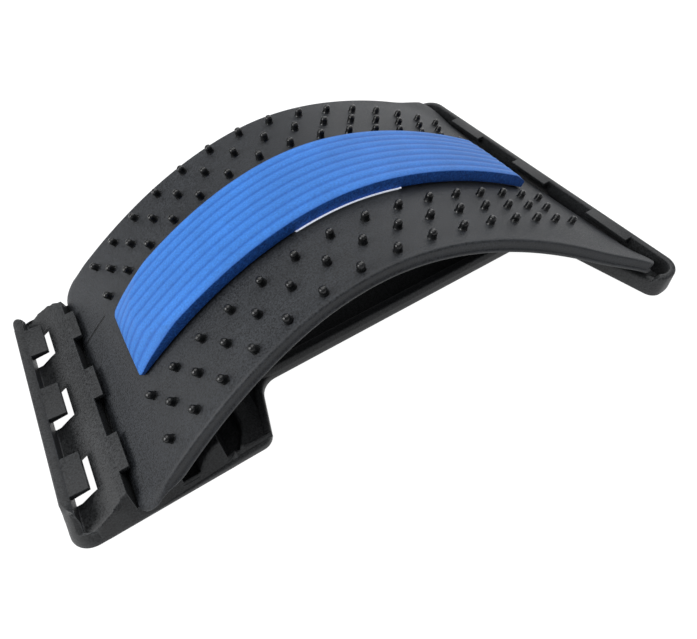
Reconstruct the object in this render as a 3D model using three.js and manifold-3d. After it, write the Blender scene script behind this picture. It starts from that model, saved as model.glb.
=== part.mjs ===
// Arched back stretcher: a springy moulded panel, bowed between the pockets of a one-piece base.
// Millimetres, +Z up. The origin is the centre of the base's footprint, on the surface it stands on.
// +X runs from the ratchet end, which has four rows of teeth, to the end with a single row of hooks.
// The panel is one springy moulding. Its bending is given to a hinge line at the crown of the arch,
// so its solid is in two halves that meet there.

import * as THREE from "three";
import { mergeVertices } from "three/addons/utils/BufferGeometryUtils.js";
import Module from "manifold-3d";

const wasm = await Module();
wasm.setup();

// General
const overrun = 2;
const clearance = 0.3;
const arc_steps = 5;

// Base: plan of the footprint, and how far both end walls lean out from their tops to the floor
const base_length = 388;
const end_flare = 5.5;
const ratchet_half_width = 86.3;
const bridge_half_width = 47;
const single_half_width = 133;
const ratchet_block_length = 108;
const ratchet_neck_run = 11;
const single_block_length = 21;
const single_neck_run = 21;
const outer_corner_radius = 13;
const inner_corner_radius = 8;
const neck_radius = 12;

// Base: plinth, floor and side rails
const plinth_height = 6;
const plinth_wall = 4.4;
const plinth_round = 2;
const plinth_step_share = 0.33;
const floor_top = 3.4;
const underside_recess = 1.2;
const rail_height = 10;
const rail_width = 9;
const rail_top_width = 5;

// Base: ratchet teeth
const tooth_count = 4;
const tooth_pitch = 25.5;
const tooth_height = 18.6;
const tooth_top_flat = 3;
const pocket_width = 12.5;
const ratchet_wall = 5.6;
const teeth_setback = 7.3;
const teeth_end_lean = 3;
const tooth_shell = 2.6;
const ramp_steps = 6;
const heel_height = 11;
const heel_length = 9;

// Base: hooks over the pockets
const hook_thickness = 3.4;
const outer_hook_reach = 9.6;
const tooth_hook_reach = 5.4;
const ratchet_hook_width = 24;
const ratchet_hook_margin = 15;
const single_hook_width = 35.5;
const single_wall_height = 16.4;
const single_hook_reach = 5.4;
const single_wall_corner = 9;
const single_wall_setback_share = 0.33;
const single_hook_margin = 29.85;

// Base: bead along the ratchet end
const bead_radius = 2.6;
const bead_top = 21.5;
const bead_margin = 7;
const bead_cap_steps = 3;
const bead_side_count = 8;

// Panel: side view of the arch, along its top face
const panel_thickness = 3.2;
const crown_shift = 0.8;
const crown_height = 88.8;
const left_foot_angle = 40.3;
const right_foot_angle = 36.2;
const left_foot_handle_share = 0.339;
const left_crown_handle_share = 0.388;
const right_foot_handle_share = 0.283;
const right_crown_handle_share = 0.347;
const arch_steps = 24;
const arch_table_steps = 400;

// Panel: plan
const panel_left_half_width = 94;
const panel_waist_half_width = 80.8;
const panel_right_half_width = 135;
const waist_shift = 35.8;
const left_flare_power = 1.7;
const right_flare_power = 2.1;
const left_corner_length = 12;
const left_corner_width = 12;
const right_corner_length = 16;
const right_corner_width = 30;
const outline_steps = 12;

// Panel: rolled rim along both long edges
const rim_depth = 7;
const rim_width = 3;
const rim_left_start = 20;
const rim_right_start = 34;

// Massage pegs, three rows to each side of the spine
const peg_pitch = 21.5;
const peg_rows = [42.8, 57.6, 72.9];
const peg_centre_offset = 6.4;
const peg_reach_count = 7;
const peg_row_shift_shares = [0, 0.5, 0];
const peg_radius = 2.6;
const peg_height = 5;
const peg_root = 1.5;
const peg_side_count = 8;
const peg_shoulder_share = 0.6;
const peg_crown_share = 0.72;
const peg_crown_height_share = 0.87;

// Foam pad and the adhesive sheet beneath it
const pad_length = 308;
const pad_shift = 1;
const pad_half_width = 27.5;
const pad_thickness = 9;
const pad_corner = 5;
const pad_nose = 42;
const pad_nose_power = 0.6;
const pad_nose_shares = [0, 0.03, 0.11, 0.28, 0.5, 0.75];
const pad_end_thickness = 1.2;
const pad_bulge_share = 0.33;
const pad_ridge_count = 8;
const pad_groove = 0.7;
const pad_crown = 0.9;
const pad_draw_in = 1.2;
const pad_steps = 22;
const sheet_thickness = 0.5;
const sheet_inset = 2;
const sheet_tab_half_length = 34;
const sheet_tab_reach = 1.8;

// Colours and surface
const moulded_black = 0x26272a;
const panel_black = 0x2a2b2d;
const foam_blue = 0x2f6fd0;
const sheet_white = 0xf2f4f6;
const plastic_roughness = 0.55;
const foam_roughness = 0.85;

// Places worked out from the sizes above
const base_left = -base_length / 2;
const base_right = base_length / 2;
const ratchet_inner_x = base_left + ratchet_block_length;
const ratchet_neck_x = ratchet_inner_x + ratchet_neck_run;
const single_inner_x = base_right - single_block_length;
const single_neck_x = single_inner_x - single_neck_run;
const teeth_half_width = ratchet_half_width - teeth_setback;
const ratchet_hook_spacing = teeth_half_width - ratchet_hook_margin - ratchet_hook_width / 2;
const bead_half_length = teeth_half_width - bead_margin;
const heel_gap_half_width = bridge_half_width - rail_width / 2;
const single_wall_half_length = single_half_width - single_wall_corner;
const single_hook_spacing = single_wall_half_length - single_hook_margin - single_hook_width / 2;
const crown_x = (base_left + base_right) / 2 + crown_shift;
const waist_x = crown_x - waist_shift;
const first_root = base_left + ratchet_wall;
const rows_before_panel_count = 1;
const panel_left = first_root + rows_before_panel_count * tooth_pitch + clearance;
const single_wall = plinth_wall;
const panel_right = base_right - single_wall - clearance;
const left_foot_slope = THREE.MathUtils.degToRad(left_foot_angle);
const right_foot_slope = THREE.MathUtils.degToRad(right_foot_angle);
const left_foot_height = plinth_height + clearance + panel_thickness * Math.cos(left_foot_slope);
const right_foot_height = floor_top + clearance + panel_thickness * Math.cos(right_foot_slope);

// Joins and cuts

function solid(geometry) {
  const bare = geometry.clone();
  bare.deleteAttribute("normal");
  bare.deleteAttribute("uv");
  const merged = mergeVertices(bare);
  const vertProperties = new Float32Array(merged.attributes.position.array);
  const triVerts = new Uint32Array(merged.index.array);
  return new wasm.Manifold(new wasm.Mesh({ numProp: 3, vertProperties, triVerts }));
}

function piece(name, shape, colour, roughness) {
  const data = shape.getMesh();
  const geometry = new THREE.BufferGeometry();
  geometry.setAttribute("position", new THREE.BufferAttribute(data.vertProperties, 3));
  geometry.setIndex(new THREE.BufferAttribute(data.triVerts, 1));
  geometry.computeVertexNormals();
  const material = new THREE.MeshStandardMaterial({ color: colour, roughness, metalness: 0 });
  const mesh = new THREE.Mesh(geometry, material);
  mesh.name = name;
  return mesh;
}

function joined(shapes) {
  return shapes.reduce((whole, shape) => whole.add(shape));
}

function box(low, high) {
  const [x0, y0, z0] = low;
  const [x1, y1, z1] = high;
  const geometry = new THREE.BoxGeometry(x1 - x0, y1 - y0, z1 - z0);
  geometry.translate((x0 + x1) / 2, (y0 + y1) / 2, (z0 + z1) / 2);
  return solid(geometry);
}

// A plan outline raised between two heights.
function prism(outline, low, high) {
  const shape = new THREE.Shape(outline);
  const geometry = new THREE.ExtrudeGeometry(shape, { depth: high - low, bevelEnabled: false });
  geometry.translate(0, 0, low);
  return solid(geometry);
}

// A side view, in x and z, drawn out between two places across the width.
function drawn_across(outline, low_y, high_y) {
  const shape = new THREE.Shape(outline);
  const geometry = new THREE.ExtrudeGeometry(shape, { depth: high_y - low_y, bevelEnabled: false });
  geometry.rotateX(Math.PI / 2);
  geometry.translate(0, high_y, 0);
  return solid(geometry);
}

// An end view, in y and z, drawn out between two places along the length.
function drawn_along(outline, low_x, high_x) {
  const shape = new THREE.Shape(outline);
  const geometry = new THREE.ExtrudeGeometry(shape, { depth: high_x - low_x, bevelEnabled: false });
  geometry.rotateX(Math.PI / 2);
  geometry.rotateZ(Math.PI / 2);
  geometry.translate(low_x, 0, 0);
  return solid(geometry);
}

// Corners given as [x, y, radius], each turned into an arc.
function rounded(corners) {
  const points = [];
  corners.forEach(([x, y, radius], i) => {
    const here = new THREE.Vector2(x, y);
    const [bx, by] = corners.at(i - 1);
    const [ax, ay] = corners[(i + 1) % corners.length];
    const back = new THREE.Vector2(bx, by).sub(here).normalize();
    const ahead = new THREE.Vector2(ax, ay).sub(here).normalize();
    const half_angle = Math.acos(back.dot(ahead)) / 2;
    const reach = radius / Math.tan(half_angle);
    const middle = back.clone().add(ahead).normalize();
    const centre = here.clone().addScaledVector(middle, radius / Math.sin(half_angle));
    const first = here.clone().addScaledVector(back, reach).sub(centre);
    const last = here.clone().addScaledVector(ahead, reach).sub(centre);
    const turn = Math.atan2(first.cross(last), first.dot(last));
    for (let k = 0; k <= arc_steps; k += 1) {
      const spoke = first.clone().rotateAround(new THREE.Vector2(), (turn * k) / arc_steps);
      points.push(centre.clone().add(spoke));
    }
  });
  return points;
}

// Base

// The footprint, moved inwards by an inset: near side from left to right, then the far side back.
// A flare moves both ends outwards.
function footprint(inset, flare) {
  const outer = outer_corner_radius - inset;
  const inner = inner_corner_radius - inset;
  const neck = neck_radius + inset;
  const left = base_left - flare + inset;
  const right = base_right + flare - inset;
  const ratchet_y = ratchet_half_width - inset;
  const single_y = single_half_width - inset;
  const bridge_y = bridge_half_width - inset;
  const near = [
    [left, -ratchet_y, outer],
    [ratchet_inner_x - inset, -ratchet_y, inner],
    [ratchet_neck_x - inset, -bridge_y, neck],
    [single_neck_x + inset, -bridge_y, neck],
    [single_inner_x + inset, -single_y, inner],
    [right, -single_y, outer],
  ];
  const far = near.map(([x, y, radius]) => [x, -y, radius]).reverse();
  return rounded([...near, ...far]);
}

function plinth() {
  const step = plinth_round * plinth_step_share;
  const body = prism(footprint(0, end_flare), 0, plinth_height - plinth_round);
  const half = prism(footprint(step, end_flare), 0, plinth_height - step);
  const shoulder = prism(footprint(plinth_round, end_flare), 0, plinth_height);
  const tray = prism(footprint(plinth_wall, 0), floor_top, plinth_height + overrun);
  const recess = prism(footprint(plinth_wall, end_flare), -overrun, underside_recess);
  return joined([body, half, shoulder]).subtract(tray).subtract(recess);
}

// One side rail of the bridge, with a round-shouldered top that leans in to the trough.
function rail(side) {
  const outer = bridge_half_width;
  const lean = (rail_width - rail_top_width) / 2;
  const outline = [
    new THREE.Vector2(outer, underside_recess),
    new THREE.Vector2(outer, plinth_height),
    new THREE.Vector2(outer - lean, rail_height),
    new THREE.Vector2(outer - lean - rail_top_width, rail_height),
    new THREE.Vector2(outer - rail_width, floor_top),
    new THREE.Vector2(outer - rail_width, underside_recess),
  ];
  const placed = outline.map((point) => new THREE.Vector2(side * point.x, point.y));
  return drawn_along(placed, ratchet_neck_x - neck_radius, single_neck_x + neck_radius);
}

const root_x = (row) => first_root + row * tooth_pitch;

// Side view of one tooth: a convex ramp that climbs out of the pocket before it.
function tooth_outline(row, shell) {
  const start = root_x(row - 1) + pocket_width + shell;
  const end = root_x(row) - shell;
  const top = tooth_height - shell;
  const crest = end - (tooth_top_flat - shell / 2);
  const low = shell > 0 ? -overrun : underside_recess;
  const foot = shell > 0 ? floor_top - shell : floor_top;
  const points = [new THREE.Vector2(start, low)];
  for (let k = 0; k <= ramp_steps; k += 1) {
    const angle = (Math.PI / 2) * (k / ramp_steps);
    const x = crest - (crest - start) * Math.cos(angle);
    points.push(new THREE.Vector2(x, foot + (top - foot) * Math.sin(angle)));
  }
  points.push(new THREE.Vector2(end, top));
  points.push(new THREE.Vector2(end, low));
  return points;
}

// The outer wall of the ratchet end, which carries the first row of hooks.
function ratchet_end_outline() {
  return [
    new THREE.Vector2(base_left - end_flare, underside_recess),
    new THREE.Vector2(first_root, underside_recess),
    new THREE.Vector2(first_root, tooth_height),
    new THREE.Vector2(base_left - end_flare, tooth_height),
  ];
}

// The side view that trims the base: both end walls lean in from the floor to their tops.
function ends_envelope() {
  const top = bead_top + overrun;
  return [
    new THREE.Vector2(base_left - end_flare, -overrun),
    new THREE.Vector2(base_right + end_flare, -overrun),
    new THREE.Vector2(base_right + end_flare, 0),
    new THREE.Vector2(base_right, single_wall_height),
    new THREE.Vector2(base_right, top),
    new THREE.Vector2(base_left, top),
    new THREE.Vector2(base_left, tooth_height),
    new THREE.Vector2(base_left - end_flare, 0),
  ];
}

// The end view that trims the teeth: their ends lean in a little towards the top.
function teeth_envelope() {
  const foot = teeth_half_width + teeth_end_lean;
  return [
    new THREE.Vector2(-foot, -overrun),
    new THREE.Vector2(foot, -overrun),
    new THREE.Vector2(foot, floor_top),
    new THREE.Vector2(teeth_half_width, tooth_height - hook_thickness),
    new THREE.Vector2(teeth_half_width - teeth_end_lean, tooth_height),
    new THREE.Vector2(teeth_half_width - teeth_end_lean, bead_top + overrun),
    new THREE.Vector2(teeth_end_lean - teeth_half_width, bead_top + overrun),
    new THREE.Vector2(teeth_end_lean - teeth_half_width, tooth_height),
    new THREE.Vector2(-teeth_half_width, tooth_height - hook_thickness),
    new THREE.Vector2(-foot, floor_top),
  ];
}

const ratchet_hook_centres = [-ratchet_hook_spacing, 0, ratchet_hook_spacing];
const single_hook_centres = [-single_hook_spacing, 0, single_hook_spacing];
const hook_reach = (row) => (row === 0 ? outer_hook_reach : tooth_hook_reach);

// A hook, and the window under it that lets the mould form its underside.
function hook(row, centre) {
  const half = ratchet_hook_width / 2;
  const low = [root_x(row) - tooth_shell, centre - half, tooth_height - hook_thickness];
  return box(low, [root_x(row) + hook_reach(row), centre + half, tooth_height]);
}

function window(row, centre) {
  const half = ratchet_hook_width / 2;
  const reach = hook_reach(row) - clearance;
  const low = [root_x(row) + clearance, centre - half, -overrun];
  return box(low, [root_x(row) + reach, centre + half, floor_top + overrun]);
}

// Hollows under the teeth, with a rib at each side of every hook.
function bays() {
  const half = ratchet_hook_width / 2 - tooth_shell / 2;
  const gap = ratchet_hook_spacing - ratchet_hook_width - tooth_shell;
  const ends = teeth_half_width - teeth_end_lean - tooth_shell;
  const spans = [];
  for (const centre of ratchet_hook_centres) {
    spans.push([centre - half, centre + half]);
  }
  for (const centre of [-ratchet_hook_spacing / 2, ratchet_hook_spacing / 2]) {
    spans.push([centre - gap / 2, centre + gap / 2]);
  }
  const last_hook = ratchet_hook_spacing + half + tooth_shell;
  spans.push([-ends, -last_hook]);
  spans.push([last_hook, ends]);
  return spans;
}

// The heel that closes the last pocket: a low wedge to each side of the trough.
function heel(side) {
  const start = root_x(tooth_count - 1) + pocket_width;
  const outline = [
    new THREE.Vector2(start, underside_recess),
    new THREE.Vector2(start, heel_height - plinth_round),
    new THREE.Vector2(start + plinth_round, heel_height),
    new THREE.Vector2(start + heel_length, plinth_height),
    new THREE.Vector2(start + heel_length, underside_recess),
  ];
  const near = side * heel_gap_half_width;
  const far = side * teeth_half_width;
  return drawn_across(outline, Math.min(near, far), Math.max(near, far));
}

function bead() {
  const length = 2 * bead_half_length;
  const geometry = new THREE.CapsuleGeometry(bead_radius, length, bead_cap_steps, bead_side_count);
  geometry.translate(base_left + bead_radius, 0, bead_top - bead_radius);
  return solid(geometry);
}

// The wall of the single-row end, dropping in a curve to the plinth at both corners.
function single_end() {
  const setback = outer_corner_radius * single_wall_setback_share;
  const drop = single_half_width - setback - single_wall_half_length;
  const outline = [];
  for (const side of [1, -1]) {
    for (let k = 0; k <= arc_steps; k += 1) {
      const share = side > 0 ? k / arc_steps : 1 - k / arc_steps;
      const angle = (Math.PI / 2) * share;
      const y = single_wall_half_length + drop * Math.cos(angle);
      const z = floor_top + (single_wall_height - floor_top) * Math.sin(angle);
      outline.push(new THREE.Vector2(side * y, z));
    }
  }
  outline.push(new THREE.Vector2(-single_half_width, underside_recess));
  outline.push(new THREE.Vector2(single_half_width, underside_recess));
  const wall = drawn_along(outline, base_right - single_wall, base_right + end_flare);
  const low = single_wall_height - hook_thickness;
  const root = base_right - single_wall;
  const hooks = single_hook_centres.map((centre) => {
    const half = single_hook_width / 2;
    const start = [root - single_hook_reach, centre - half, low];
    return box(start, [base_right - single_wall / 2, centre + half, single_wall_height]);
  });
  return joined([wall, ...hooks]);
}

function base() {
  const teeth = [];
  const hollows = [];
  const hooks = [];
  const windows = [];
  const span = teeth_half_width + teeth_end_lean;
  teeth.push(drawn_across(ratchet_end_outline(), -span, span));
  for (let row = 1; row < tooth_count; row += 1) {
    teeth.push(drawn_across(tooth_outline(row, 0), -span, span));
    for (const [low, high] of bays()) {
      hollows.push(drawn_across(tooth_outline(row, tooth_shell), low, high));
    }
  }
  for (let row = 0; row < tooth_count; row += 1) {
    for (const centre of ratchet_hook_centres) {
      hooks.push(hook(row, centre));
      windows.push(window(row, centre));
    }
  }
  const envelope = drawn_along(teeth_envelope(), base_left - end_flare, base_right);
  const corner_trim = prism(footprint(0, end_flare), -overrun, bead_top + overrun);
  const lean_trim = drawn_across(ends_envelope(), -single_half_width, single_half_width);
  const ratchet = joined([...teeth, bead(), heel(1), heel(-1)]).intersect(envelope);
  const single_windows = single_hook_centres.map((centre) => {
    const half = single_hook_width / 2;
    const root = base_right - single_wall;
    const low = [root - single_hook_reach + clearance, centre - half, -overrun];
    return box(low, [root - clearance, centre + half, floor_top + overrun]);
  });
  const shell = joined([plinth(), ratchet, rail(1), rail(-1), single_end()])
    .intersect(corner_trim)
    .intersect(lean_trim)
    .subtract(joined([...hollows, ...windows, ...single_windows]));
  return shell.add(joined(hooks).intersect(envelope));
}

// Panel

// The arch's top face in side view: two cubic curves that meet, level, at the crown.
function arch_curves() {
  const side = (end_x, foot_height, slope, foot_share, crown_share) => {
    const run = Math.abs(end_x - crown_x);
    const inward = Math.sign(crown_x - end_x);
    const foot = new THREE.Vector2(end_x, foot_height);
    const reach = foot_share * run;
    const foot_handle = foot.clone();
    foot_handle.x += inward * reach * Math.cos(slope);
    foot_handle.y += reach * Math.sin(slope);
    const crown = new THREE.Vector2(crown_x, crown_height);
    const crown_handle = new THREE.Vector2(crown_x - inward * crown_share * run, crown_height);
    return [foot, foot_handle, crown_handle, crown];
  };
  const left_shares = [left_foot_handle_share, left_crown_handle_share];
  const right_shares = [right_foot_handle_share, right_crown_handle_share];
  const left = side(panel_left, left_foot_height, left_foot_slope, ...left_shares);
  const right = side(panel_right, right_foot_height, right_foot_slope, ...right_shares);
  return {
    left: new THREE.CubicBezierCurve(...left),
    right: new THREE.CubicBezierCurve(...right.reverse()),
  };
}

const arch = arch_curves();

// Points along the whole arch, each with the distance from the crown along the curve.
function arch_table() {
  const left = arch.left.getPoints(arch_table_steps);
  const right = arch.right.getPoints(arch_table_steps);
  const points = [...left, ...right.slice(1)];
  const lengths = [0];
  for (let i = 1; i < points.length; i += 1) {
    lengths.push(lengths[i - 1] + points[i].distanceTo(points[i - 1]));
  }
  const crown = lengths[arch_table_steps];
  return { points, along: lengths.map((length) => length - crown) };
}

const table = arch_table();

// The place on the top face at a distance along the arch, and the direction square to it.
function on_arch(distance) {
  const { points, along } = table;
  let i = along.findIndex((value) => value > distance);
  i = i < 1 ? (i < 0 ? points.length - 1 : 1) : i;
  const share = (distance - along[i - 1]) / (along[i] - along[i - 1]);
  const place = points[i - 1].clone().lerp(points[i], share);
  const tangent = points[i].clone().sub(points[i - 1]).normalize();
  return { place, normal: new THREE.Vector2(-tangent.y, tangent.x) };
}

const arch_start = table.along[0];
const arch_end = table.along.at(-1);

// Side view of a layer of the arch, between two depths under its top face.
function arch_band(from, to, upper, lower) {
  const top = [];
  const bottom = [];
  for (let k = 0; k <= arch_steps; k += 1) {
    const { place, normal } = on_arch(from + ((to - from) * k) / arch_steps);
    top.push(place.clone().addScaledVector(normal, -upper));
    bottom.unshift(place.clone().addScaledVector(normal, -lower));
  }
  return [...top, ...bottom];
}

// Half the panel's width at a place along the length: narrowest at the waist, flared to both ends.
function half_width(x) {
  if (x < waist_x) {
    const share = (waist_x - x) / (waist_x - panel_left);
    return panel_waist_half_width
      + (panel_left_half_width - panel_waist_half_width) * share ** left_flare_power;
  }
  const share = (x - waist_x) / (panel_right - waist_x);
  return panel_waist_half_width
    + (panel_right_half_width - panel_waist_half_width) * share ** right_flare_power;
}

function panel_outline(inset) {
  const near = [];
  const left = panel_left - overrun + inset;
  const right = panel_right + overrun - inset;
  const start = panel_left + left_corner_length;
  const end = panel_right - right_corner_length;
  for (let k = 1; k < outline_steps; k += 1) {
    const x = start + ((end - start) * k) / outline_steps;
    near.push([x, -(half_width(x) - inset)]);
  }
  const corner = (x, length, width, edge, inward) => {
    const y = half_width(x) - inset;
    const arc = [];
    for (let k = 0; k <= arc_steps; k += 1) {
      const angle = (Math.PI / 2) * (k / arc_steps);
      const px = x - inward * (length - inset) * Math.sin(angle);
      arc.push([px, -(y - width * (1 - Math.cos(angle)))]);
    }
    arc.push([edge, arc.at(-1)[1]]);
    return arc;
  };
  const left_corner = corner(start, left_corner_length, left_corner_width, left, 1).reverse();
  const right_corner = corner(end, right_corner_length, right_corner_width, right, -1);
  const side = [...left_corner, ...near, ...right_corner];
  const far = side.map(([x, y]) => [x, -y]).reverse();
  return [...side, ...far].map(([x, y]) => new THREE.Vector2(x, y));
}

function peg() {
  const shoulder = peg_height * peg_shoulder_share;
  const profile = [
    new THREE.Vector2(0, -peg_root),
    new THREE.Vector2(peg_radius, -peg_root),
    new THREE.Vector2(peg_radius, shoulder),
    new THREE.Vector2(peg_radius * peg_crown_share, peg_height * peg_crown_height_share),
    new THREE.Vector2(0, peg_height),
  ];
  const geometry = new THREE.LatheGeometry(profile, peg_side_count);
  geometry.rotateX(Math.PI / 2);
  return geometry;
}

// All pegs on one side of the crown. The outer and inner rows line up; the middle row is staggered.
function pegs(side) {
  const shapes = [];
  const base_peg = peg();
  peg_rows.forEach((y, row) => {
    const first = peg_row_shift_shares[row] - peg_reach_count;
    for (let k = first; k <= peg_reach_count; k += 1) {
      const distance = peg_centre_offset + k * peg_pitch;
      if (Math.sign(distance) !== side) {
        continue;
      }
      const { place, normal } = on_arch(distance);
      const tilt = Math.atan2(normal.x, normal.y);
      for (const hand of [1, -1]) {
        const geometry = base_peg.clone();
        geometry.rotateY(tilt);
        geometry.translate(place.x, hand * y, place.y);
        shapes.push(solid(geometry));
      }
    }
  });
  return joined(shapes);
}

// Half of the panel: side is -1 for the ratchet end and 1 for the single-row end.
function panel_half(side) {
  const widest = single_half_width;
  const skin = drawn_across(arch_band(arch_start, arch_end, 0, panel_thickness), -widest, widest);
  const rim_from = arch_start + rim_left_start;
  const rim_to = arch_end - rim_right_start;
  const deep = drawn_across(arch_band(rim_from, rim_to, 0, rim_depth), -widest, widest);
  const outer = prism(panel_outline(0), -overrun, crown_height + overrun);
  const inner = prism(panel_outline(rim_width), -overrun, crown_height + overrun);
  const rim = deep.intersect(outer).subtract(inner);
  const whole = skin.intersect(outer).add(rim);
  const cut = crown_x + (side * clearance) / 2;
  const far = side * base_length;
  const low = [Math.min(cut, far), -widest, -overrun];
  const high = [Math.max(cut, far), widest, crown_height + overrun];
  return whole.intersect(box(low, high)).add(pegs(side));
}

// Pad

// One cross section of the pad: rounded sides and lengthwise ridges, which fade out with its height.
function pad_section(half, lift, height_share) {
  const points = [];
  const draw = pad_draw_in;
  const thickness = pad_end_thickness + (pad_thickness - pad_end_thickness) * height_share;
  points.push([-half + draw, lift]);
  points.push([-half, lift + thickness * pad_bulge_share]);
  const span = 2 * (half - draw);
  for (let k = 0; k <= 2 * pad_ridge_count; k += 1) {
    const share = k / (2 * pad_ridge_count);
    const fall = pad_crown * (2 * share - 1) ** 2;
    const groove = k % 2 === 0 ? pad_groove : 0;
    points.push([-half + draw + span * share, lift + thickness - (fall + groove) * height_share]);
  }
  points.push([half, lift + thickness * pad_bulge_share]);
  points.push([half - draw, lift]);
  return points;
}

// A closed body lofted through sections that stand square to the arch.
function lofted(stations) {
  const positions = [];
  const indices = [];
  const count = stations[0].section.length;
  for (const { distance, section } of stations) {
    const { place, normal } = on_arch(distance);
    for (const [y, height] of section) {
      positions.push(place.x + normal.x * height, y, place.y + normal.y * height);
    }
  }
  for (let i = 0; i < stations.length - 1; i += 1) {
    for (let j = 0; j < count; j += 1) {
      const a = i * count + j;
      const b = i * count + ((j + 1) % count);
      indices.push(a, b + count, b, a, a + count, b + count);
    }
  }
  const cap = (ring, flip) => {
    const outline = stations[ring].section.map(([y, height]) => new THREE.Vector2(y, height));
    for (const [a, b, c] of THREE.ShapeUtils.triangulateShape(outline, [])) {
      const first = ring * count;
      indices.push(first + a, first + (flip ? c : b), first + (flip ? b : c));
    }
  };
  cap(0, true);
  cap(stations.length - 1, false);
  const geometry = new THREE.BufferGeometry();
  geometry.setAttribute("position", new THREE.Float32BufferAttribute(positions, 3));
  geometry.setIndex(indices);
  return solid(geometry);
}

function pad() {
  const lift = 2 * clearance + sheet_thickness;
  const centre = peg_centre_offset + pad_shift;
  const half_length = pad_length / 2;
  const stations = [];
  const push = (offset) => {
    const in_corner = Math.max(0, Math.abs(offset) - (half_length - pad_corner));
    const across = Math.sqrt(Math.max(0, pad_corner ** 2 - in_corner ** 2));
    const narrowing = pad_corner - across;
    const from_end = Math.max(0, half_length - Math.abs(offset));
    const height_share = Math.min(1, from_end / pad_nose) ** pad_nose_power;
    const section = pad_section(pad_half_width - narrowing, lift, height_share);
    stations.push({ distance: centre + offset, section });
  };
  pad_nose_shares.forEach((share) => push(-half_length + share * pad_nose));
  const straight = half_length - pad_nose;
  for (let k = 0; k <= pad_steps; k += 1) {
    push(-straight + (2 * straight * k) / pad_steps);
  }
  pad_nose_shares.toReversed().forEach((share) => push(half_length - share * pad_nose));
  return lofted(stations);
}

function sheet() {
  const low = clearance;
  const high = clearance + sheet_thickness;
  const centre = peg_centre_offset + pad_shift;
  const half_length = pad_length / 2 - pad_corner;
  const half = pad_half_width - sheet_inset - pad_draw_in;
  const strip = (from, to, near, far) => {
    const stations = [];
    for (let k = 0; k <= pad_steps; k += 1) {
      const section = [[near, low], [near, high], [far, high], [far, low]];
      stations.push({ distance: from + ((to - from) * k) / pad_steps, section });
    }
    return lofted(stations);
  };
  const body = strip(centre - half_length, centre + half_length, -half, half);
  const tab_near = -(pad_half_width + sheet_tab_reach);
  const tab_centre = peg_centre_offset;
  const from = tab_centre - sheet_tab_half_length;
  const to = tab_centre + sheet_tab_half_length;
  return body.add(strip(from, to, tab_near, 0));
}

const group = new THREE.Group();
group.add(piece("base_frame", base(), moulded_black, plastic_roughness));
group.add(piece("arch_panel_left", panel_half(-1), panel_black, plastic_roughness));
group.add(piece("arch_panel_right", panel_half(1), panel_black, plastic_roughness));
group.add(piece("foam_pad", pad(), foam_blue, foam_roughness));
group.add(piece("adhesive_sheet", sheet(), sheet_white, plastic_roughness));

export default group;
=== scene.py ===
# %% [markdown]
# # An arched back stretcher, dressed for the camera
# The real object is a springy plastic panel with massage pegs and a blue foam pad. It is bowed by
# hand between the two ends of a plastic base. This lesson keeps the engineering model as a frame
# and builds a finer skin around it, piece by piece, in metres and in the same place.

# %% Load the frame
import math

import bmesh
import bpy
import numpy as np
from mathutils import Matrix, Vector


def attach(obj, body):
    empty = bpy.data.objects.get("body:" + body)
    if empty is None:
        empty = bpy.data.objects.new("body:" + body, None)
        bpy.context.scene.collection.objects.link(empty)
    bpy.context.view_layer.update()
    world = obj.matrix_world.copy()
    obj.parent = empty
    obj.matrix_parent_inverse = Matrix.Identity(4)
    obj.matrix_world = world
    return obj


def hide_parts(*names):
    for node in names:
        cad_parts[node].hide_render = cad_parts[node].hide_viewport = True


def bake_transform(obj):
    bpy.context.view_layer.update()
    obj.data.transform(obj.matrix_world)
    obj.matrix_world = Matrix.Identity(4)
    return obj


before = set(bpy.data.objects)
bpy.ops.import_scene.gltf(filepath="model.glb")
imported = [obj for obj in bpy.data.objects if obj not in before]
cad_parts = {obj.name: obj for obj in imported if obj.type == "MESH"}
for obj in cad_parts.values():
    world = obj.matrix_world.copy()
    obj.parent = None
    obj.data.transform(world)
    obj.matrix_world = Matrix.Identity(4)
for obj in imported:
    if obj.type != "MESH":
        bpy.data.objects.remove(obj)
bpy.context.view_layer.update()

MM = 0.001

# %% [markdown]
# ## Camera
# The photograph was taken from above the near left corner with a wide lens. The place and the
# directions come from a fit to the straight edges of the base and to the regular grid of pegs,
# so the model lines up with the photograph without moving any piece by eye.

# %% Camera
camera_place = (-0.10247, -0.22379, 0.27172)
camera_right = (0.84851, -0.52578, -0.05986)
camera_up = (0.44551, 0.64871, 0.61701)
camera_back = (-0.28558, -0.55021, 0.78468)
focal_length = 26.57

camera = bpy.data.objects.new("camera", bpy.data.cameras.new("camera"))
bpy.context.scene.collection.objects.link(camera)
camera.data.sensor_width = 36.0
camera.data.lens = focal_length
camera.data.clip_start = 0.01
axes = Matrix((camera_right, camera_up, camera_back)).transposed()
camera.matrix_world = Matrix.Translation(camera_place) @ axes.to_4x4()
bpy.context.scene.camera = camera
print("camera", camera.matrix_world.to_euler())

# %% [markdown]
# ## Small helpers
# Every cell below leans on a few short functions. Some add a node and hand back its result, one
# turns a web colour into the linear values that a shader wants, and the others turn lists of
# points into clean closed meshes.


# %% Colour and node helpers
def linear(web_colour):
    """Turns an sRGB colour such as #26272a into linear red, green, blue and an alpha of 1."""
    parts = [int(web_colour[i:i + 2], 16) / 255 for i in (1, 3, 5)]
    return [p / 12.92 if p <= 0.04045 else ((p + 0.055) / 1.055) ** 2.4 for p in parts] + [1.0]


def fill_in(tree, node, inputs):
    """Fills a node's inputs: a value that is a socket is linked, and any other value is set."""
    for name, value in inputs.items():
        if isinstance(value, bpy.types.NodeSocket):
            tree.links.new(value, node.inputs[name])
        else:
            node.inputs[name].default_value = value


def add(tree, kind, settings=None, inputs=None):
    """Adds a node with its settings and its inputs."""
    node = tree.nodes.new(kind)
    for name, value in (settings or {}).items():
        setattr(node, name, value)
    fill_in(tree, node, inputs or {})
    return node


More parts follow.
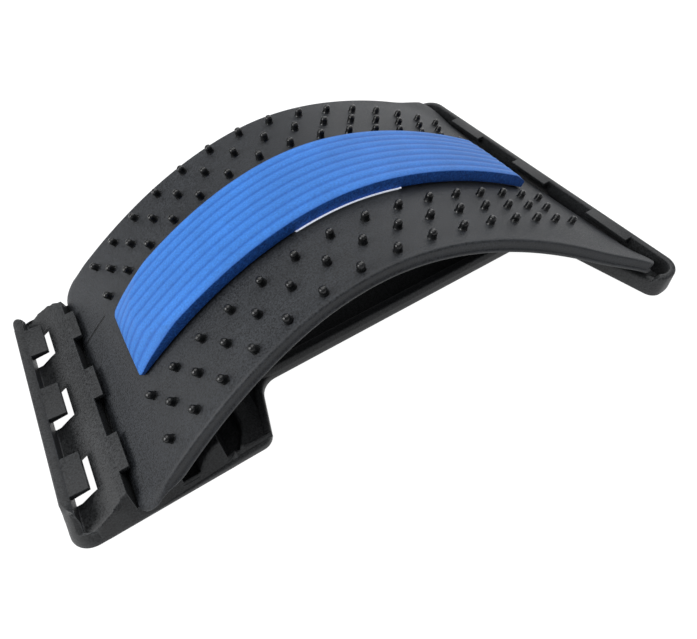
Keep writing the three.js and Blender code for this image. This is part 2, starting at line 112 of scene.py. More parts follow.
def maths(tree, operation, *values):
    """The result of one operation on numbers."""
    node = add(tree, "ShaderNodeMath", {"operation": operation}, dict(enumerate(values)))
    return node.outputs["Value"]


def vectors(tree, operation, *values, result="Vector"):
    """The result of one operation on vectors."""
    node = add(tree, "ShaderNodeVectorMath", {"operation": operation}, dict(enumerate(values)))
    return node.outputs[result]


def scaled(tree, vector, amount):
    """A vector or a colour times a number."""
    return add(tree, "ShaderNodeVectorMath", {"operation": "SCALE"}, {
        0: vector, "Scale": amount}).outputs["Vector"]


def vector_from(tree, **parts):
    """A vector from its X, Y and Z; the ones that aren't given are 0."""
    return add(tree, "ShaderNodeCombineXYZ", None, parts).outputs["Vector"]


def parts_of(tree, vector):
    """The X, Y and Z of a vector."""
    return add(tree, "ShaderNodeSeparateXYZ", None, {"Vector": vector}).outputs


# %% Mesh helpers
merge_distance = 0.01  # millimetres: points closer together than this are one point


def object_from(name, data):
    """Puts a mesh, a lamp or a curve into the scene as an object."""
    piece = bpy.data.objects.new(name, data)
    bpy.context.scene.collection.objects.link(piece)
    return piece


def piece_from(name, points, faces):
    """Makes an object from points in millimetres, with doubles merged and empty faces left out."""
    mesh = bpy.data.meshes.new(name)
    shape = bmesh.new()
    corners = [shape.verts.new(Vector(p) * MM) for p in points]
    for face in faces:
        ring = [corners[k] for i, k in enumerate(face) if k != face[i - 1]]
        if len(set(ring)) > 2 and len(set(ring)) == len(ring):
            shape.faces.new(ring)
    bmesh.ops.remove_doubles(shape, verts=shape.verts, dist=merge_distance * MM)
    bmesh.ops.dissolve_degenerate(shape, edges=shape.edges, dist=merge_distance / 2 * MM)
    shape.to_mesh(mesh)
    shape.free()
    return object_from(name, mesh)


def merge_points(piece, distance):
    """Merges the points of a mesh that lie closer together than a distance in millimetres."""
    shape = bmesh.new()
    shape.from_mesh(piece.data)
    bmesh.ops.remove_doubles(shape, verts=shape.verts, dist=distance * MM)
    shape.to_mesh(piece.data)
    shape.free()


def face_out(piece):
    """Points every face of a closed mesh outwards."""
    shape = bmesh.new()
    shape.from_mesh(piece.data)
    bmesh.ops.recalc_face_normals(shape, faces=shape.faces)
    shape.to_mesh(piece.data)
    shape.free()


def faces_between(loops):
    """Four-sided faces between closed loops of point numbers, each loop joined to the next."""
    return [(a[k], a[(k + 1) % len(a)], b[(k + 1) % len(a)], b[k])
            for a, b in zip(loops, loops[1:]) for k in range(len(a))]


def smooth(piece, angle=38):
    """Shades a mesh smooth, and keeps edges sharper than the angle."""
    piece.data.shade_smooth()
    piece.data.set_sharp_from_angle(angle=math.radians(angle))


def baked(piece):
    """Turns a piece with modifiers into a plain mesh and takes the modifiers away."""
    graph = bpy.context.evaluated_depsgraph_get()
    shown = piece.evaluated_get(graph)
    mesh = bpy.data.meshes.new_from_object(shown, preserve_all_data_layers=True, depsgraph=graph)
    piece.modifiers.clear()
    piece.data = mesh
    mesh.name = piece.name
    return piece


def ease(low, high, value):
    """Goes smoothly from 0 at low to 1 at high."""
    share = np.clip((np.asarray(value, float) - low) / (high - low), 0, 1)
    return share * share * (3 - 2 * share)


# %% [markdown]
# ## The stage
# A cut-out product picture has a white ground without any shadow, and large soft lights. The floor
# here is a plain card with a white glow of its own, like a photographer's light table, so the
# ground stays white under the arch and in the windows of the base. The lights above are weak,
# because black plastic shows its shape by soft reflections and not by bright ones.


# %% Material helpers
def new_material(name):
    """A new material, with its node tree and its shader."""
    material = bpy.data.materials.new(name)
    material.use_nodes = True
    return material, material.node_tree, material.node_tree.nodes["Principled BSDF"]


def noise(tree, place, size_mm, detail, roughness=0.5):
    """Noise whose largest swings are about the given size apart."""
    return add(tree, "ShaderNodeTexNoise", None, {
        "Vector": place, "Scale": 1 / (size_mm * MM), "Detail": detail,
        "Roughness": roughness}).outputs["Fac"]


def ranged(tree, value, old, new):
    """Moves a value from one range to another and keeps it inside."""
    return add(tree, "ShaderNodeMapRange", None, {
        "Value": value, "From Min": old[0], "From Max": old[1],
        "To Min": new[0], "To Max": new[1]}).outputs["Result"]


def mixed(tree, share, first, second):
    """A colour between two colours."""
    return add(tree, "ShaderNodeMix", {"data_type": "RGBA"}, {
        "Factor": share, "A": first, "B": second}).outputs["Result"]


def bumped(tree, height, depth_mm, strength):
    """A surface direction that follows a height."""
    return add(tree, "ShaderNodeBump", None, {
        "Height": height, "Distance": depth_mm * MM, "Strength": strength}).outputs["Normal"]


# %% Floor, world and lights
card, card_tree, card_shader = new_material("pale_card")
fill_in(card_tree, card_shader, {
    "Base Color": linear("#5c5d5f"), "Roughness": 0.9, "Specular IOR Level": 0.1,
    "Emission Color": linear("#ffffff"), "Emission Strength": 1.0})
reach, card_gap = 6.0, 0.6 * MM
card_corners = [(-reach, -reach, 0), (reach, -reach, 0), (reach, reach, 0), (-reach, reach, 0)]
floor_mesh = bpy.data.meshes.new("floor")
floor_mesh.from_pydata(card_corners, [], [(0, 1, 2, 3)])
floor_mesh.materials.append(card)
floor = object_from("floor", floor_mesh)
floor.location.z = -card_gap

world = bpy.data.worlds.new("studio")
bpy.context.scene.world = world
world.use_nodes = True
fill_in(world.node_tree, world.node_tree.nodes["Background"], {
    "Color": linear("#f4f6fa"), "Strength": 0.4})


def soft_light(name, place, target, size, power):
    """A square area light of a size in metres and a power in watts that looks at a point."""
    lamp = bpy.data.lights.new(name, "AREA")
    lamp.shape = "SQUARE"
    lamp.size = size
    lamp.energy = power
    light = object_from(name, lamp)
    light.location = place
    direction = Vector(target) - Vector(place)
    light.rotation_euler = direction.to_track_quat("-Z", "Y").to_euler()
    return light


lights = [
    soft_light("overhead", (0.15, 0.35, 1.5), (0, 0, 0.03), 1.6, 20),
    soft_light("back_right", (1.3, 0.9, 0.9), (0.05, 0, 0.03), 1.0, 8.5),
    soft_light("left", (-1.3, 0.15, 0.8), (-0.1, 0, 0.02), 0.9, 19),
]
bpy.context.scene.view_settings.view_transform = "Standard"
print("lights", [light.name for light in lights])

# %% [markdown]
# ## Black polypropylene of the base
# The base is injection-moulded polypropylene, a tough, slightly waxy plastic. The steel mould was
# spark-eroded, which leaves a fine, even grain. The eye sees a dark grey-black that is satin on
# flat faces and a little uneven over larger areas, where the melt cooled at different speeds. Its
# edges are lighter, partly from wear that rubs the grain smooth and partly from a painted
# highlight.
# The real grain is about 0.15 mm, too fine for this picture, so it is drawn at half a millimetre,
# about the finest size that still shows.

# %% Moulded plastic material
flow_mm, scuff_mm, wear_and_highlight_edge_mm = 38.0, 6.0, 0.9
plastic_ior = 1.49


def moulded_plastic(name, colour, wear_and_highlight_colour, roughness, grain_mm, depth_mm, gloss, cloud):
    """Moulded, grained polypropylene: grain, worn edges with a painted highlight, slow changes of
    tone.
    """
    material, tree, shader = new_material(name)
    place = add(tree, "ShaderNodeTexCoord").outputs["Object"]
    grain = noise(tree, place, 2 * grain_mm, 3.0, 0.6)
    flow = noise(tree, place, flow_mm, 2.0)
    scuffs = noise(tree, place, scuff_mm, 4.0, 0.7)
    soft_edge = add(tree, "ShaderNodeBevel", {"samples": 4}, {"Radius": wear_and_highlight_edge_mm * MM})
    face = add(tree, "ShaderNodeNewGeometry")
    flatness = vectors(tree, "DOT_PRODUCT", soft_edge.outputs["Normal"], face.outputs["Normal"],
                       result="Value")
    # Edges lighter: partly wear, partly a painted highlight where rounded edges meet the light.
    wear_and_painted_highlight = maths(tree, "MULTIPLY", ranged(tree, flatness, (0.995, 0.86), (0.0, 1.0)), scuffs)
    tone = ranged(tree, flow, (0.3, 0.7), (1 - cloud / 2, 1 + cloud / 2))
    speck = ranged(tree, grain, (0.35, 0.65), (0.3, 1.7))
    varied = scaled(tree, linear(colour)[:3], maths(tree, "MULTIPLY", tone, speck))
    fill_in(tree, shader, {
        "Base Color": mixed(tree, wear_and_painted_highlight, varied, linear(wear_and_highlight_colour)),
        "Roughness": ranged(tree, grain, (0.3, 0.7), (roughness - 0.16, roughness + 0.16)),
        "Normal": bumped(tree, grain, depth_mm, 0.8),
        "IOR": plastic_ior, "Specular IOR Level": gloss})
    return material


satin_base = moulded_plastic(
    "moulded_polypropylene_satin", "#262728", "#505254", roughness=0.5, grain_mm=0.5,
    depth_mm=0.22, gloss=0.27, cloud=0.35)
print("material", satin_base.name)

# %% [markdown]
# ## The plan of the base
# The base seen from above is one outline with rounded corners: a wide ratchet end, a narrow
# bridge and a very wide far end. Moulded walls follow that outline, so one function gives it at
# any inset. A wall is then an inset-and-height profile carried round the outline.

# %% Base outline
base_left, base_right = -194.0, 194.0
ratchet_half_width, bridge_half_width, end_half_width = 86.3, 47.0, 133.0
ratchet_inner, ratchet_neck = -86.0, -75.0
end_inner, end_neck = 173.0, 152.0
outer_corner, inner_corner, neck_corner = 13.0, 8.0, 12.0
arc_steps = 12


def corner_at(before, here, after):
    """Directions from a corner to its neighbours, the nearer one's distance, half the angle."""
    back, ahead = np.array(before[:2], float) - here, np.array(after[:2], float) - here
    nearer = min(np.linalg.norm(back), np.linalg.norm(ahead))
    back, ahead = back / np.linalg.norm(back), ahead / np.linalg.norm(ahead)
    return back, ahead, nearer, math.acos(np.clip(back @ ahead, -1, 1)) / 2


def arc_at(here, back, ahead, half, radius, run, step_degrees=None):
    """Points on the arc that rounds a corner, from a run before it to a run after it."""
    middle = (back + ahead) / np.linalg.norm(back + ahead)
    centre = here + middle * radius / math.sin(half)
    first, last = here + back * run - centre, here + ahead * run - centre
    turn = math.atan2(first[0] * last[1] - first[1] * last[0], first @ last)
    steps = max(2, int(abs(math.degrees(turn)) / step_degrees)) if step_degrees else arc_steps
    turns = [turn * k / steps for k in range(steps + 1)]
    return [centre + (first[0] * math.cos(a) - first[1] * math.sin(a),
                      first[0] * math.sin(a) + first[1] * math.cos(a)) for a in turns]


def rounded(corners):
    """A closed loop of x, y, radius corners, each turned into an arc of equal steps."""
    loop = []
    for i, (x, y, radius) in enumerate(corners):
        here = np.array([x, y], float)
        back, ahead, _, half = corner_at(corners[i - 1], here, corners[(i + 1) % len(corners)])
        radius = max(radius, 0.0)
        loop += arc_at(here, back, ahead, half, radius, radius / math.tan(half))
    return np.array(loop)


def footprint(inset):
    """The outline of the base moved inwards, counter-clockwise from the near left corner."""
    outer, inner, neck = outer_corner - inset, inner_corner - inset, neck_corner + inset
    near = [
        (base_left + inset, -(ratchet_half_width - inset), outer),
        (ratchet_inner - inset, -(ratchet_half_width - inset), inner),
        (ratchet_neck - inset, -(bridge_half_width - inset), neck),
        (end_neck + inset, -(bridge_half_width - inset), neck),
        (end_inner + inset, -(end_half_width - inset), inner),
        (base_right - inset, -(end_half_width - inset), outer),
    ]
    return rounded(near + [(x, -y, radius) for x, y, radius in reversed(near)])


print("outline points", len(footprint(0)))

# %% [markdown]
# ## The wall round the plinth
# A low wall stands all round the base, 6 mm high and 4.4 mm thick, with its top edge rounded
# generously and its foot eased slightly. At the single-row end the same wall rises to 17 mm, goes
# round both corners and drops in a curve where the panel passes over it. Beside the teeth only a
# third of the plinth's height is left, because their own leaning faces come down to the ground
# there. It is one profile swept round the outline, with a height that depends on where along the
# outline it is. The outer faces of both ends lean: their feet reach 5.5 mm further out than their
# tops, which lets the moulding leave its mould and keeps the base from tipping.

# %% Plinth wall
plinth_height, plinth_wall, floor_top = 6.0, 4.4, 3.4
end_wall_height, tooth_height, end_flare = 17.0, 18.6, 5.5
tall_wall_start, tall_wall_outside, tall_wall_drop = 165.0, 180.5, (122.5, 130.5)
low_wall_share, low_wall_blend, full_lean_end = 0.3, (-103.0, -93.0), -150.0
rising_from = 3.2
wall_profile = [  # inset, height and share of the lean; points over rising_from rise with the wall
    (0.5, 0.0, 1), (0.15, 0.15, 1), (0.0, 0.6, 1), (0.0, 3.0, 1), (0.05, 4.2, 1), (0.35, 5.1, 1),
    (0.95, 5.7, 1), (1.7, 5.95, 0.9), (2.6, 6.0, 0.6), (3.5, 5.9, 0.2), (4.1, 5.5, 0),
    (4.4, 4.9, 0), (4.4, 3.0, 0), (4.4, 1.2, 0.8), (4.1, 0.3, 1), (3.5, 0.0, 1),
]


def leaned(x, z, share):
    """Moves the outer faces of both ends outwards towards their feet."""
    left = np.clip((base_left + outer_corner - x) / outer_corner, 0, 1)
    right = np.clip((x - base_right + outer_corner) / outer_corner, 0, 1)
    left_lean = end_flare * np.clip(1 - z / tooth_height, 0, 1) * left
    right_lean = end_flare * np.clip(1 - z / end_wall_height, 0, 1) * right
    return x + share * (right_lean - left_lean)


def wall_rise(loop):
    """How much higher the wall stands than the plinth, at each point of the outline."""
    x, y = loop[:, 0], np.abs(loop[:, 1])
    round_corner = np.where(x > tall_wall_outside, 1.0, ease(*tall_wall_drop, y))
    return np.where(x > tall_wall_start, round_corner, 0.0) * (end_wall_height - plinth_height)


def wall_squash(loop):
    """How much of the plinth's height is left: a third beside the teeth, and all elsewhere."""
    return low_wall_share + (1 - low_wall_share) * ease(*low_wall_blend, loop[:, 0])


wall_points = []
outline_count = len(footprint(0))
rise, squash = wall_rise(footprint(0)), wall_squash(footprint(0))
for inset, height, lean in wall_profile:
    loop = footprint(inset)
    lifted = height * squash + (rise if height > rising_from else 0)
    lean = np.where(loop[:, 0] < full_lean_end, 1.0, lean)
    wall_points += list(np.column_stack([leaned(loop[:, 0], lifted, lean), loop[:, 1], lifted]))
wall_loops = [range(j * outline_count, (j + 1) * outline_count) for j in range(len(wall_profile))]
plinth = piece_from("plinth_wall", wall_points, faces_between([*wall_loops, wall_loops[0]]))
face_out(plinth)
smooth(plinth)
print("plinth wall", len(plinth.data.polygons))

# %% [markdown]
# ## The floor
# Between the walls lies a floor 2.2 mm thick, raised above the ground on the wall's foot. Each
# hook has a window under it, because the mould has to reach the underside of the hook from below.
# A filled 2D curve is the simplest way to draw a plate with holes.


# %% Floor plate
def flat_plate(name, loops, low, high):
    """A flat plate between two heights from an outline and the outlines of its holes."""
    curve = bpy.data.curves.new(name, "CURVE")
    curve.dimensions = "2D"
    curve.fill_mode = "BOTH"
    curve.extrude = (high - low) / 2 * MM
    for loop in loops:
        spline = curve.splines.new("POLY")
        spline.points.add(len(loop) - 1)
        for point, (x, y) in zip(spline.points, loop):
            point.co = (x * MM, y * MM, 0, 1)
        spline.use_cyclic_u = True
    drawn = object_from(name, curve)
    graph = bpy.context.evaluated_depsgraph_get()
    mesh = bpy.data.meshes.new_from_object(drawn.evaluated_get(graph))
    bpy.data.objects.remove(drawn)
    mesh.transform(Matrix.Translation((0, 0, (high + low) / 2 * MM)))
    mesh.name = name
    piece = object_from(name, mesh)
    merge_points(piece, merge_distance)
    face_out(piece)
    return piece


def window_loop(x0, x1, y0, y1, corner=1.2):
    """A rectangle with rounded corners."""
    return rounded([(x0, y0, corner), (x1, y0, corner), (x1, y1, corner), (x0, y1, corner)])


floor_start, floor_low, into_wall = -99.0, 1.2, 0.6
end_hook_width, end_hook_spacing, end_hook_reach = 35.5, 76.4, 5.4
end_root = base_right - plinth_wall
window_gap = 0.3
inside = [tuple(p) for p in footprint(plinth_wall - into_wall) if p[0] > floor_start + 1]
cut = ratchet_half_width - plinth_wall + into_wall
floor_outline = [(floor_start, -cut), *[p for p in inside if p[1] < 0],
                 *[p for p in inside if p[1] > 0], (floor_start, cut)]
end_windows = [
    window_loop(end_root - end_hook_reach + window_gap, end_root - window_gap,
                centre - end_hook_width / 2, centre + end_hook_width / 2)
    for centre in (-end_hook_spacing, 0, end_hook_spacing)]
base_floor = flat_plate("base_floor", [floor_outline] + end_windows, floor_low, floor_top)
smooth(base_floor)
print("floor", len(base_floor.data.polygons))

# %% [markdown]
# ## Four rows of teeth
# The ratchet end is a thin shell: an outer wall with a round shoulder, then four pockets, with a
# broad convex tooth between each pair of pockets. Its side view is one line that runs over all the
# crests and floors, and that line is carried across the width. Near both ends a leaning end wall
# cuts the teeth down and closes the pockets. The windows under the first row's hooks also cut into
# the first tooth, which gives the angled slots of the photograph. Solidify then gives the shell
# its wall thickness, which also hollows it from below, as in the real moulding.

# %% Side view of the teeth
tooth_pitch, pocket_width = 25.5, 12.5
first_root = -188.4
teeth_rows = 4
hook_width, hook_spacing = 24.0, 52.0
outer_hook_reach, tooth_hook_reach, hook_thickness = 9.6, 5.4, 3.4
heel_top, heel_end, heel_foot = 11.0, -89.4, 5.2


def fillet(corners, step_degrees=15):
    """An open line of x, z, radius corners, each turned into an arc that fits its neighbours."""
    line = [np.array(corners[0][:2], float)]
    for before, corner, after in zip(corners, corners[1:], corners[2:]):
        here = np.array(corner[:2], float)
        back, ahead, nearer, half = corner_at(before, here, after)
        run = min(corner[2] / math.tan(half), 0.49 * nearer)
        radius = run * math.tan(half)
        if radius < 0.02 or half > math.radians(88):
            line.append(here)
        else:
            line += arc_at(here, back, ahead, half, radius, run, step_degrees)
    line.append(np.array(corners[-1][:2], float))
    return np.array(line)


shoulder_top, shoulder_root = 21.5, 19.6
side_corners = [  # x, height and rounding
    *[(base_left + 0.02, height, 0) for height in (0.4, 3, 6, 9, 12, 14, 16)],
    (base_left + 0.02, shoulder_top, 2.7),
    (first_root - 1.8, 20.7, 4.0), (first_root, shoulder_root, 0.5), (first_root, 7.0, 0.9),
]
slot_run, pocket_floor_run = 11.7, 8.2
first_tooth = [(4.2, 9.4, 6.0), (8.0, 11.6, 9.0), (slot_run, 13.4, 0), (16.0, 15.7, 9.0),
               (21.0, 17.7, 9.0)]  # run from the pocket's wall, height and rounding
other_tooth = [(10.4, 9.0, 1.8), (13.0, 12.3, 8.0), (16.5, 15.1, 9.0), (20.0, 17.1, 9.0),
               (23.2, 18.2, 9.0)]
for row in range(1, teeth_rows):
    root_before = first_root + (row - 1) * tooth_pitch
    root = first_root + row * tooth_pitch
    if row > 1:
        side_corners.append((root_before + tooth_hook_reach - 0.3, floor_top, 0.01))
        side_corners.append((root_before + pocket_floor_run, floor_top, 1.5))
    tooth = first_tooth if row == 1 else other_tooth
    side_corners += [(root_before + run, height, radius) for run, height, radius in tooth]
    side_corners += [(root, tooth_height, 0.5), (root, floor_top, 1.2)]
last_root = first_root + (teeth_rows - 1) * tooth_pitch
side_corners += [
    (last_root + tooth_hook_reach - 0.3, floor_top, 0.01),
    (last_root + pocket_width - 0.5, floor_top, 3.0),
    (last_root + pocket_width + 1.4, heel_top, 1.6),
    (heel_end, plinth_height, 3.0),
    (heel_end + 4.5, heel_foot, 0),
]
side_line = fillet(side_corners)
print("side view points", len(side_line))

# %% [markdown]
# The ends of the teeth lean in, from 86 mm beside the centre line at the ground to 78 mm at the
# crest, and less over the first tooth. Each pocket is closed by a short wall, and the outer wall
# comes down in a curve and turns both corners. Taking the lower of two heights, with a small blend
# between them, gives exactly the rounded line where a mould's two surfaces meet.

# %% Heights of the shell
teeth_end, end_foot, ground_gap, past_end = 86.2, 2.15, 0.4, 0.13
end_lean, first_tooth_lean, fold = 0.52, 0.32, 0.8
pocket_end_top, pocket_end_place, pocket_end_slope = 7.6, 82.4, 1.6
inner_lean, inner_lean_top, wall_face = end_flare / tooth_height, 14.0, first_root + 1.1
heel_side, heel_gap, heel_slope, heel_set_back = 84.2, 42.5, 3.2, 5.5
corner_taper, corner_wall, corner_rim = 0.12, 1.8, 8.6
rim_fall, rim_spare, set_back_run = (72.5, 81), 0.4, (70, 84)
outer_softness, softness_drop = 3.6, 2.4
heel_lead, heel_run = 3.5, (-108, -98)
first_tooth_start, first_tooth_stop = (2, 8), (17, 25)
inner_window = 15.0
end_columns, heel_columns, even_columns = (75.6, teeth_end, 32), (40.5, 45.5, 9), (-74, 74, 38)
column_gap = 0.12


def lower_of(a, b, blend):
    """The smaller of two heights, with a rounded edge of about the blend's size."""
    share = np.clip(0.5 + 0.5 * (b - a) / blend, 0, 1)
    return b + (a - b) * share - blend * share * (1 - share)


hook_centres = (-hook_spacing, 0.0, hook_spacing)
window_edges = {centre + side * width / 2 for centre in hook_centres
                for side in (-1, 1) for width in (hook_width, inner_window)}
close_columns = [*np.linspace(*end_columns), teeth_end + past_end, *np.linspace(*heel_columns)]
across = sorted({0.0, *window_edges, *close_columns, *(-y for y in close_columns),
                 *np.linspace(*even_columns)})
across = [y for i, y in enumerate(across)
          if i == 0 or y - across[i - 1] > column_gap or y in window_edges]

line_x, line_z = side_line.T
along_line = np.arange(len(side_line))
crest = np.argmax(line_z > tooth_height)
inner, behind = along_line > crest, along_line > crest + 2
in_heel = line_x > last_root + pocket_width - heel_lead
to_heel = ease(*heel_run, line_x)
run = line_x - first_root
over_first = ease(*first_tooth_start, run) * (1 - ease(*first_tooth_stop, run))
softness = outer_softness - softness_drop * ease(base_left + 1, first_root + 4, line_x)

y = np.array(across)[:, None]
away = np.abs(y)
pocket_end = pocket_end_top + (away - pocket_end_place) * pocket_end_slope
z = np.where(inner, -lower_of(-line_z, -pocket_end, fold), line_z)
lean = end_lean - (end_lean - first_tooth_lean) * over_first
end_wall = end_foot + np.maximum(0, teeth_end - away) / lean
end_wall = np.where(away <= teeth_end, end_wall, ground_gap)
z = lower_of(z, end_wall, np.clip(end_wall - end_foot, 0.01, softness))
trough = floor_top + np.maximum(0, away - heel_gap + fold) * heel_slope
z = np.where(in_heel, lower_of(z, trough, fold), z)
wall_top = shoulder_top + rim_spare - (shoulder_top - corner_rim) * ease(*rim_fall, away)
z = np.where(line_x < wall_face, np.minimum(z, wall_top), z)
leaned_in = np.where(inner & (line_x < wall_face), np.maximum(0, inner_lean_top - z), 0)
set_back = heel_set_back * ease(*set_back_run, away)
set_back = np.where(in_heel & (line_x < heel_end - 2), set_back, 0)
x = line_x - set_back - inner_lean * leaned_in
z = np.maximum(z, np.minimum(line_z, heel_foot * to_heel))
side_limit = teeth_end + past_end - (teeth_end + past_end - heel_side) * to_heel
y = np.clip(y, -side_limit, side_limit)
x = leaned(x, z, ~inner)
print("shell points", z.shape)

# %% Teeth shell
# The outer wall turns the corner at every height, and the pocket's wall keeps clear behind it.
wall_radius = outer_corner - corner_taper * z
wall_left = base_left - end_flare * np.clip(1 - z / tooth_height, 0, 1)
wall_side = np.minimum(ratchet_half_width, teeth_end - end_lean * (z - end_foot))
round_corner = np.clip(np.abs(y) - wall_side + wall_radius, 0, wall_radius)
wall_place = wall_left + wall_radius - np.sqrt(wall_radius ** 2 - round_corner ** 2)
wall_place = wall_place + np.where(behind, corner_wall, 0) * ease(0, 2, round_corner)
shell_grid = np.stack([np.maximum(x, wall_place), y, z], axis=-1)
outer_window = (hook_width / 2, 0.15, slot_run)  # half width, start and end from the row's root
hidden_window = (inner_window / 2, 3.8, tooth_hook_reach)
cut_below = 6.3


def in_window(x, y):
    """Whether the middle of a face lies in the window under a hook."""
    from_hook = min(abs(y - centre) for centre in hook_centres)
    for row in range(teeth_rows):
        half, start, end = hidden_window if row else outer_window
        if from_hook < half and start < x - (first_root + row * tooth_pitch) < end:
            return True
    return False


shell_faces = []
line_count = len(side_line)
for j in range(len(across) - 1):
    for i in range(line_count - 1):
        middle_x, middle_y = line_x[i:i + 2].mean(), (across[j] + across[j + 1]) / 2
        low = middle_x < first_root + slot_run or max(line_z[i:i + 2]) < cut_below
        if not (low and in_window(middle_x, middle_y)):
            a = j * line_count + i
            shell_faces.append((a, a + 1, a + 1 + line_count, a + line_count))
teeth = piece_from("ratchet_teeth", shell_grid.reshape(-1, 3), shell_faces)
merge_points(teeth, 2 * merge_distance)
print("shell faces", len(teeth.data.polygons))

# %% [markdown]
# The two corners of the outer wall are narrower than two wall thicknesses, so the shell is made
# thinner there. A vertex group tells Solidify how much of the thickness to use at each point.

# %% Shell thickness
shell_wall, thinnest_share = 2.3, 0.15
thin_across, thin_along = (72, 76), (5, 10)
full_wall = teeth.vertex_groups.new(name="full_wall")
for vertex in teeth.data.vertices:
    x, y, z = np.array(vertex.co) / MM
    in_corner = ease(*thin_across, abs(y)) * (1 - ease(*thin_along, x - first_root))
    full_wall.add([vertex.index], float(1 - in_corner), "REPLACE")
thicken = teeth.modifiers.new("wall", "SOLIDIFY")
thicken.thickness = shell_wall * MM
thicken.offset = -1.0
thicken.use_rim = True
thicken.vertex_group = full_wall.name
thicken.thickness_vertex_group = thinnest_share
baked(teeth)
teeth.vertex_groups.clear()
face_out(teeth)
smooth(teeth, 50)
print("teeth", len(teeth.data.polygons))

# %% [markdown]
# ## Hooks and ribs
# The same tab stands over every pocket, three to a row, and the same thin rib stands under every
# tooth beside each tab. Things that repeat on a grid are a job for Geometry Nodes: one tree places
# copies of a sample in rows and columns, and a change to a pitch or a count moves them all.


# %% Tree helpers
def tree_with(name, sockets):
    """A geometry tree with a geometry input and output, and named inputs for its sizes."""
    tree = bpy.data.node_groups.new(name, "GeometryNodeTree")
    tree.is_modifier = True
    tree.interface.new_socket("Geometry", in_out="OUTPUT", socket_type="NodeSocketGeometry")
    tree.interface.new_socket("Geometry", in_out="INPUT", socket_type="NodeSocketGeometry")
    for label, kind in sockets.items():
        tree.interface.new_socket(label, in_out="INPUT", socket_type="NodeSocket" + kind)
    return tree, add(tree, "NodeGroupInput").outputs


def use_tree(piece, tree, sizes):
    """Puts the tree on the piece and sets its inputs by their identifiers."""
    modifier = piece.modifiers.new(tree.name, "NODES")
    modifier.node_group = tree
    for item in tree.interface.items_tree:
        if item.in_out == "INPUT" and item.name in sizes:
            modifier[item.identifier] = sizes[item.name]
    return piece


def sample_of(tree, given):
    """The mesh of the object that is given as the sample."""
    return add(tree, "GeometryNodeObjectInfo", {"transform_space": "ORIGINAL"}, {
        "Object": given["Sample"]}).outputs["Geometry"]


def point_line(tree, count, start, step):
    """Points in a row."""
    return add(tree, "GeometryNodeMeshLine", {"mode": "OFFSET"}, {
        "Count": count, "Start Location": start, "Offset": step}).outputs["Mesh"]


def copies_on(tree, points, sample, **more):
    """A copy of the sample on each point."""
    return add(tree, "GeometryNodeInstanceOnPoints", None, {
        "Points": points, "Instance": sample, **more}).outputs["Instances"]


def real(tree, geometry):
    """Copies turned into a mesh of their own."""
    return add(tree, "GeometryNodeRealizeInstances", None, {
        "Geometry": geometry}).outputs["Geometry"]


def painted(tree, geometry, material, **more):
    """The mesh with its material."""
    return add(tree, "GeometryNodeSetMaterial", None, {
        "Geometry": geometry, "Material": material, **more}).outputs["Geometry"]


def send_out(tree, geometry):
    """Makes the geometry the tree's result."""
    add(tree, "NodeGroupOutput", None, {"Geometry": geometry})


# %% Tree for rows of copies
rows_tree, given = tree_with("rows_of_copies", {
    "Sample": "Object", "Rows": "Int", "Row pitch": "Float", "Columns": "Int",
    "Column pitch": "Float", "Pair offset": "Float", "Start": "Vector", "Material": "Material"})
half_count = maths(rows_tree, "MULTIPLY_ADD", given["Columns"], -0.5, 0.5)
first_column = maths(rows_tree, "MULTIPLY", half_count, given["Column pitch"])
pair_start = maths(rows_tree, "MULTIPLY", given["Pair offset"], -1.0)
pair_step = maths(rows_tree, "MULTIPLY", given["Pair offset"], 2.0)
has_pair = maths(rows_tree, "GREATER_THAN", given["Pair offset"], 0.0)
pair_line = point_line(
    rows_tree, maths(rows_tree, "ADD", has_pair, 1.0),
    vector_from(rows_tree, Y=pair_start), vector_from(rows_tree, Y=pair_step))
column_line = point_line(
    rows_tree, given["Columns"],
    vector_from(rows_tree, Y=first_column), vector_from(rows_tree, Y=given["Column pitch"]))
row_line = point_line(
    rows_tree, given["Rows"], given["Start"], vector_from(rows_tree, X=given["Row pitch"]))
copies = sample_of(rows_tree, given)
for points in (pair_line, column_line, row_line):
    copies = copies_on(rows_tree, points, copies)
send_out(rows_tree, painted(rows_tree, real(rows_tree, copies), given["Material"]))
print("tree", rows_tree.name, len(rows_tree.nodes))


# %% Samples and their rows
def drawn_across(name, outline, half_width, edge=0):
    """A side view in x and z drawn out across the width, with its edges softened by a bevel."""
    count = len(outline)
    points = [(x, -half_width, z) for x, z in outline] + [(x, half_width, z) for x, z in outline]
    faces = [tuple(range(count)), tuple(range(2 * count - 1, count - 1, -1))]
    faces += [(i, i + count, (i + 1) % count + count, (i + 1) % count) for i in range(count)]
    piece = piece_from(name, points, faces)
    face_out(piece)
    if edge:
        soften = piece.modifiers.new("edges", "BEVEL")
        soften.width = edge * MM
        soften.segments = 3
        soften.limit_method = "ANGLE"
        soften.angle_limit = math.radians(35)
        baked(piece)
    return piece


def rows_of(name, sample_piece, start, count, pitch, columns_count, column_pitch, pair=0.0):
    """Rows and columns of a sample as one plain mesh."""
    piece = object_from(name, bpy.data.meshes.new(name))
    use_tree(piece, rows_tree, {
        "Sample": sample_piece, "Rows": count, "Row pitch": pitch * MM,
        "Columns": columns_count, "Column pitch": column_pitch * MM, "Pair offset": pair * MM,
        "Start": [value * MM for value in start], "Material": satin_base})
    baked(piece)
    smooth(piece, 40)
    bpy.data.objects.remove(sample_piece)
    print(name, len(piece.data.polygons))
    return piece


def hook_outline(reach_x, root_depth, root_rise=0.0, root_slope=0.0):
    """A tab with a level or falling top, a tip 0.7 mm thinner and a root buried in the wall."""
    return [(-root_depth, root_rise + root_slope * root_depth), (0, root_rise), (reach_x, 0),
            (reach_x, 0.7 - hook_thickness), (0.2, -hook_thickness), (-root_depth, -hook_thickness)]


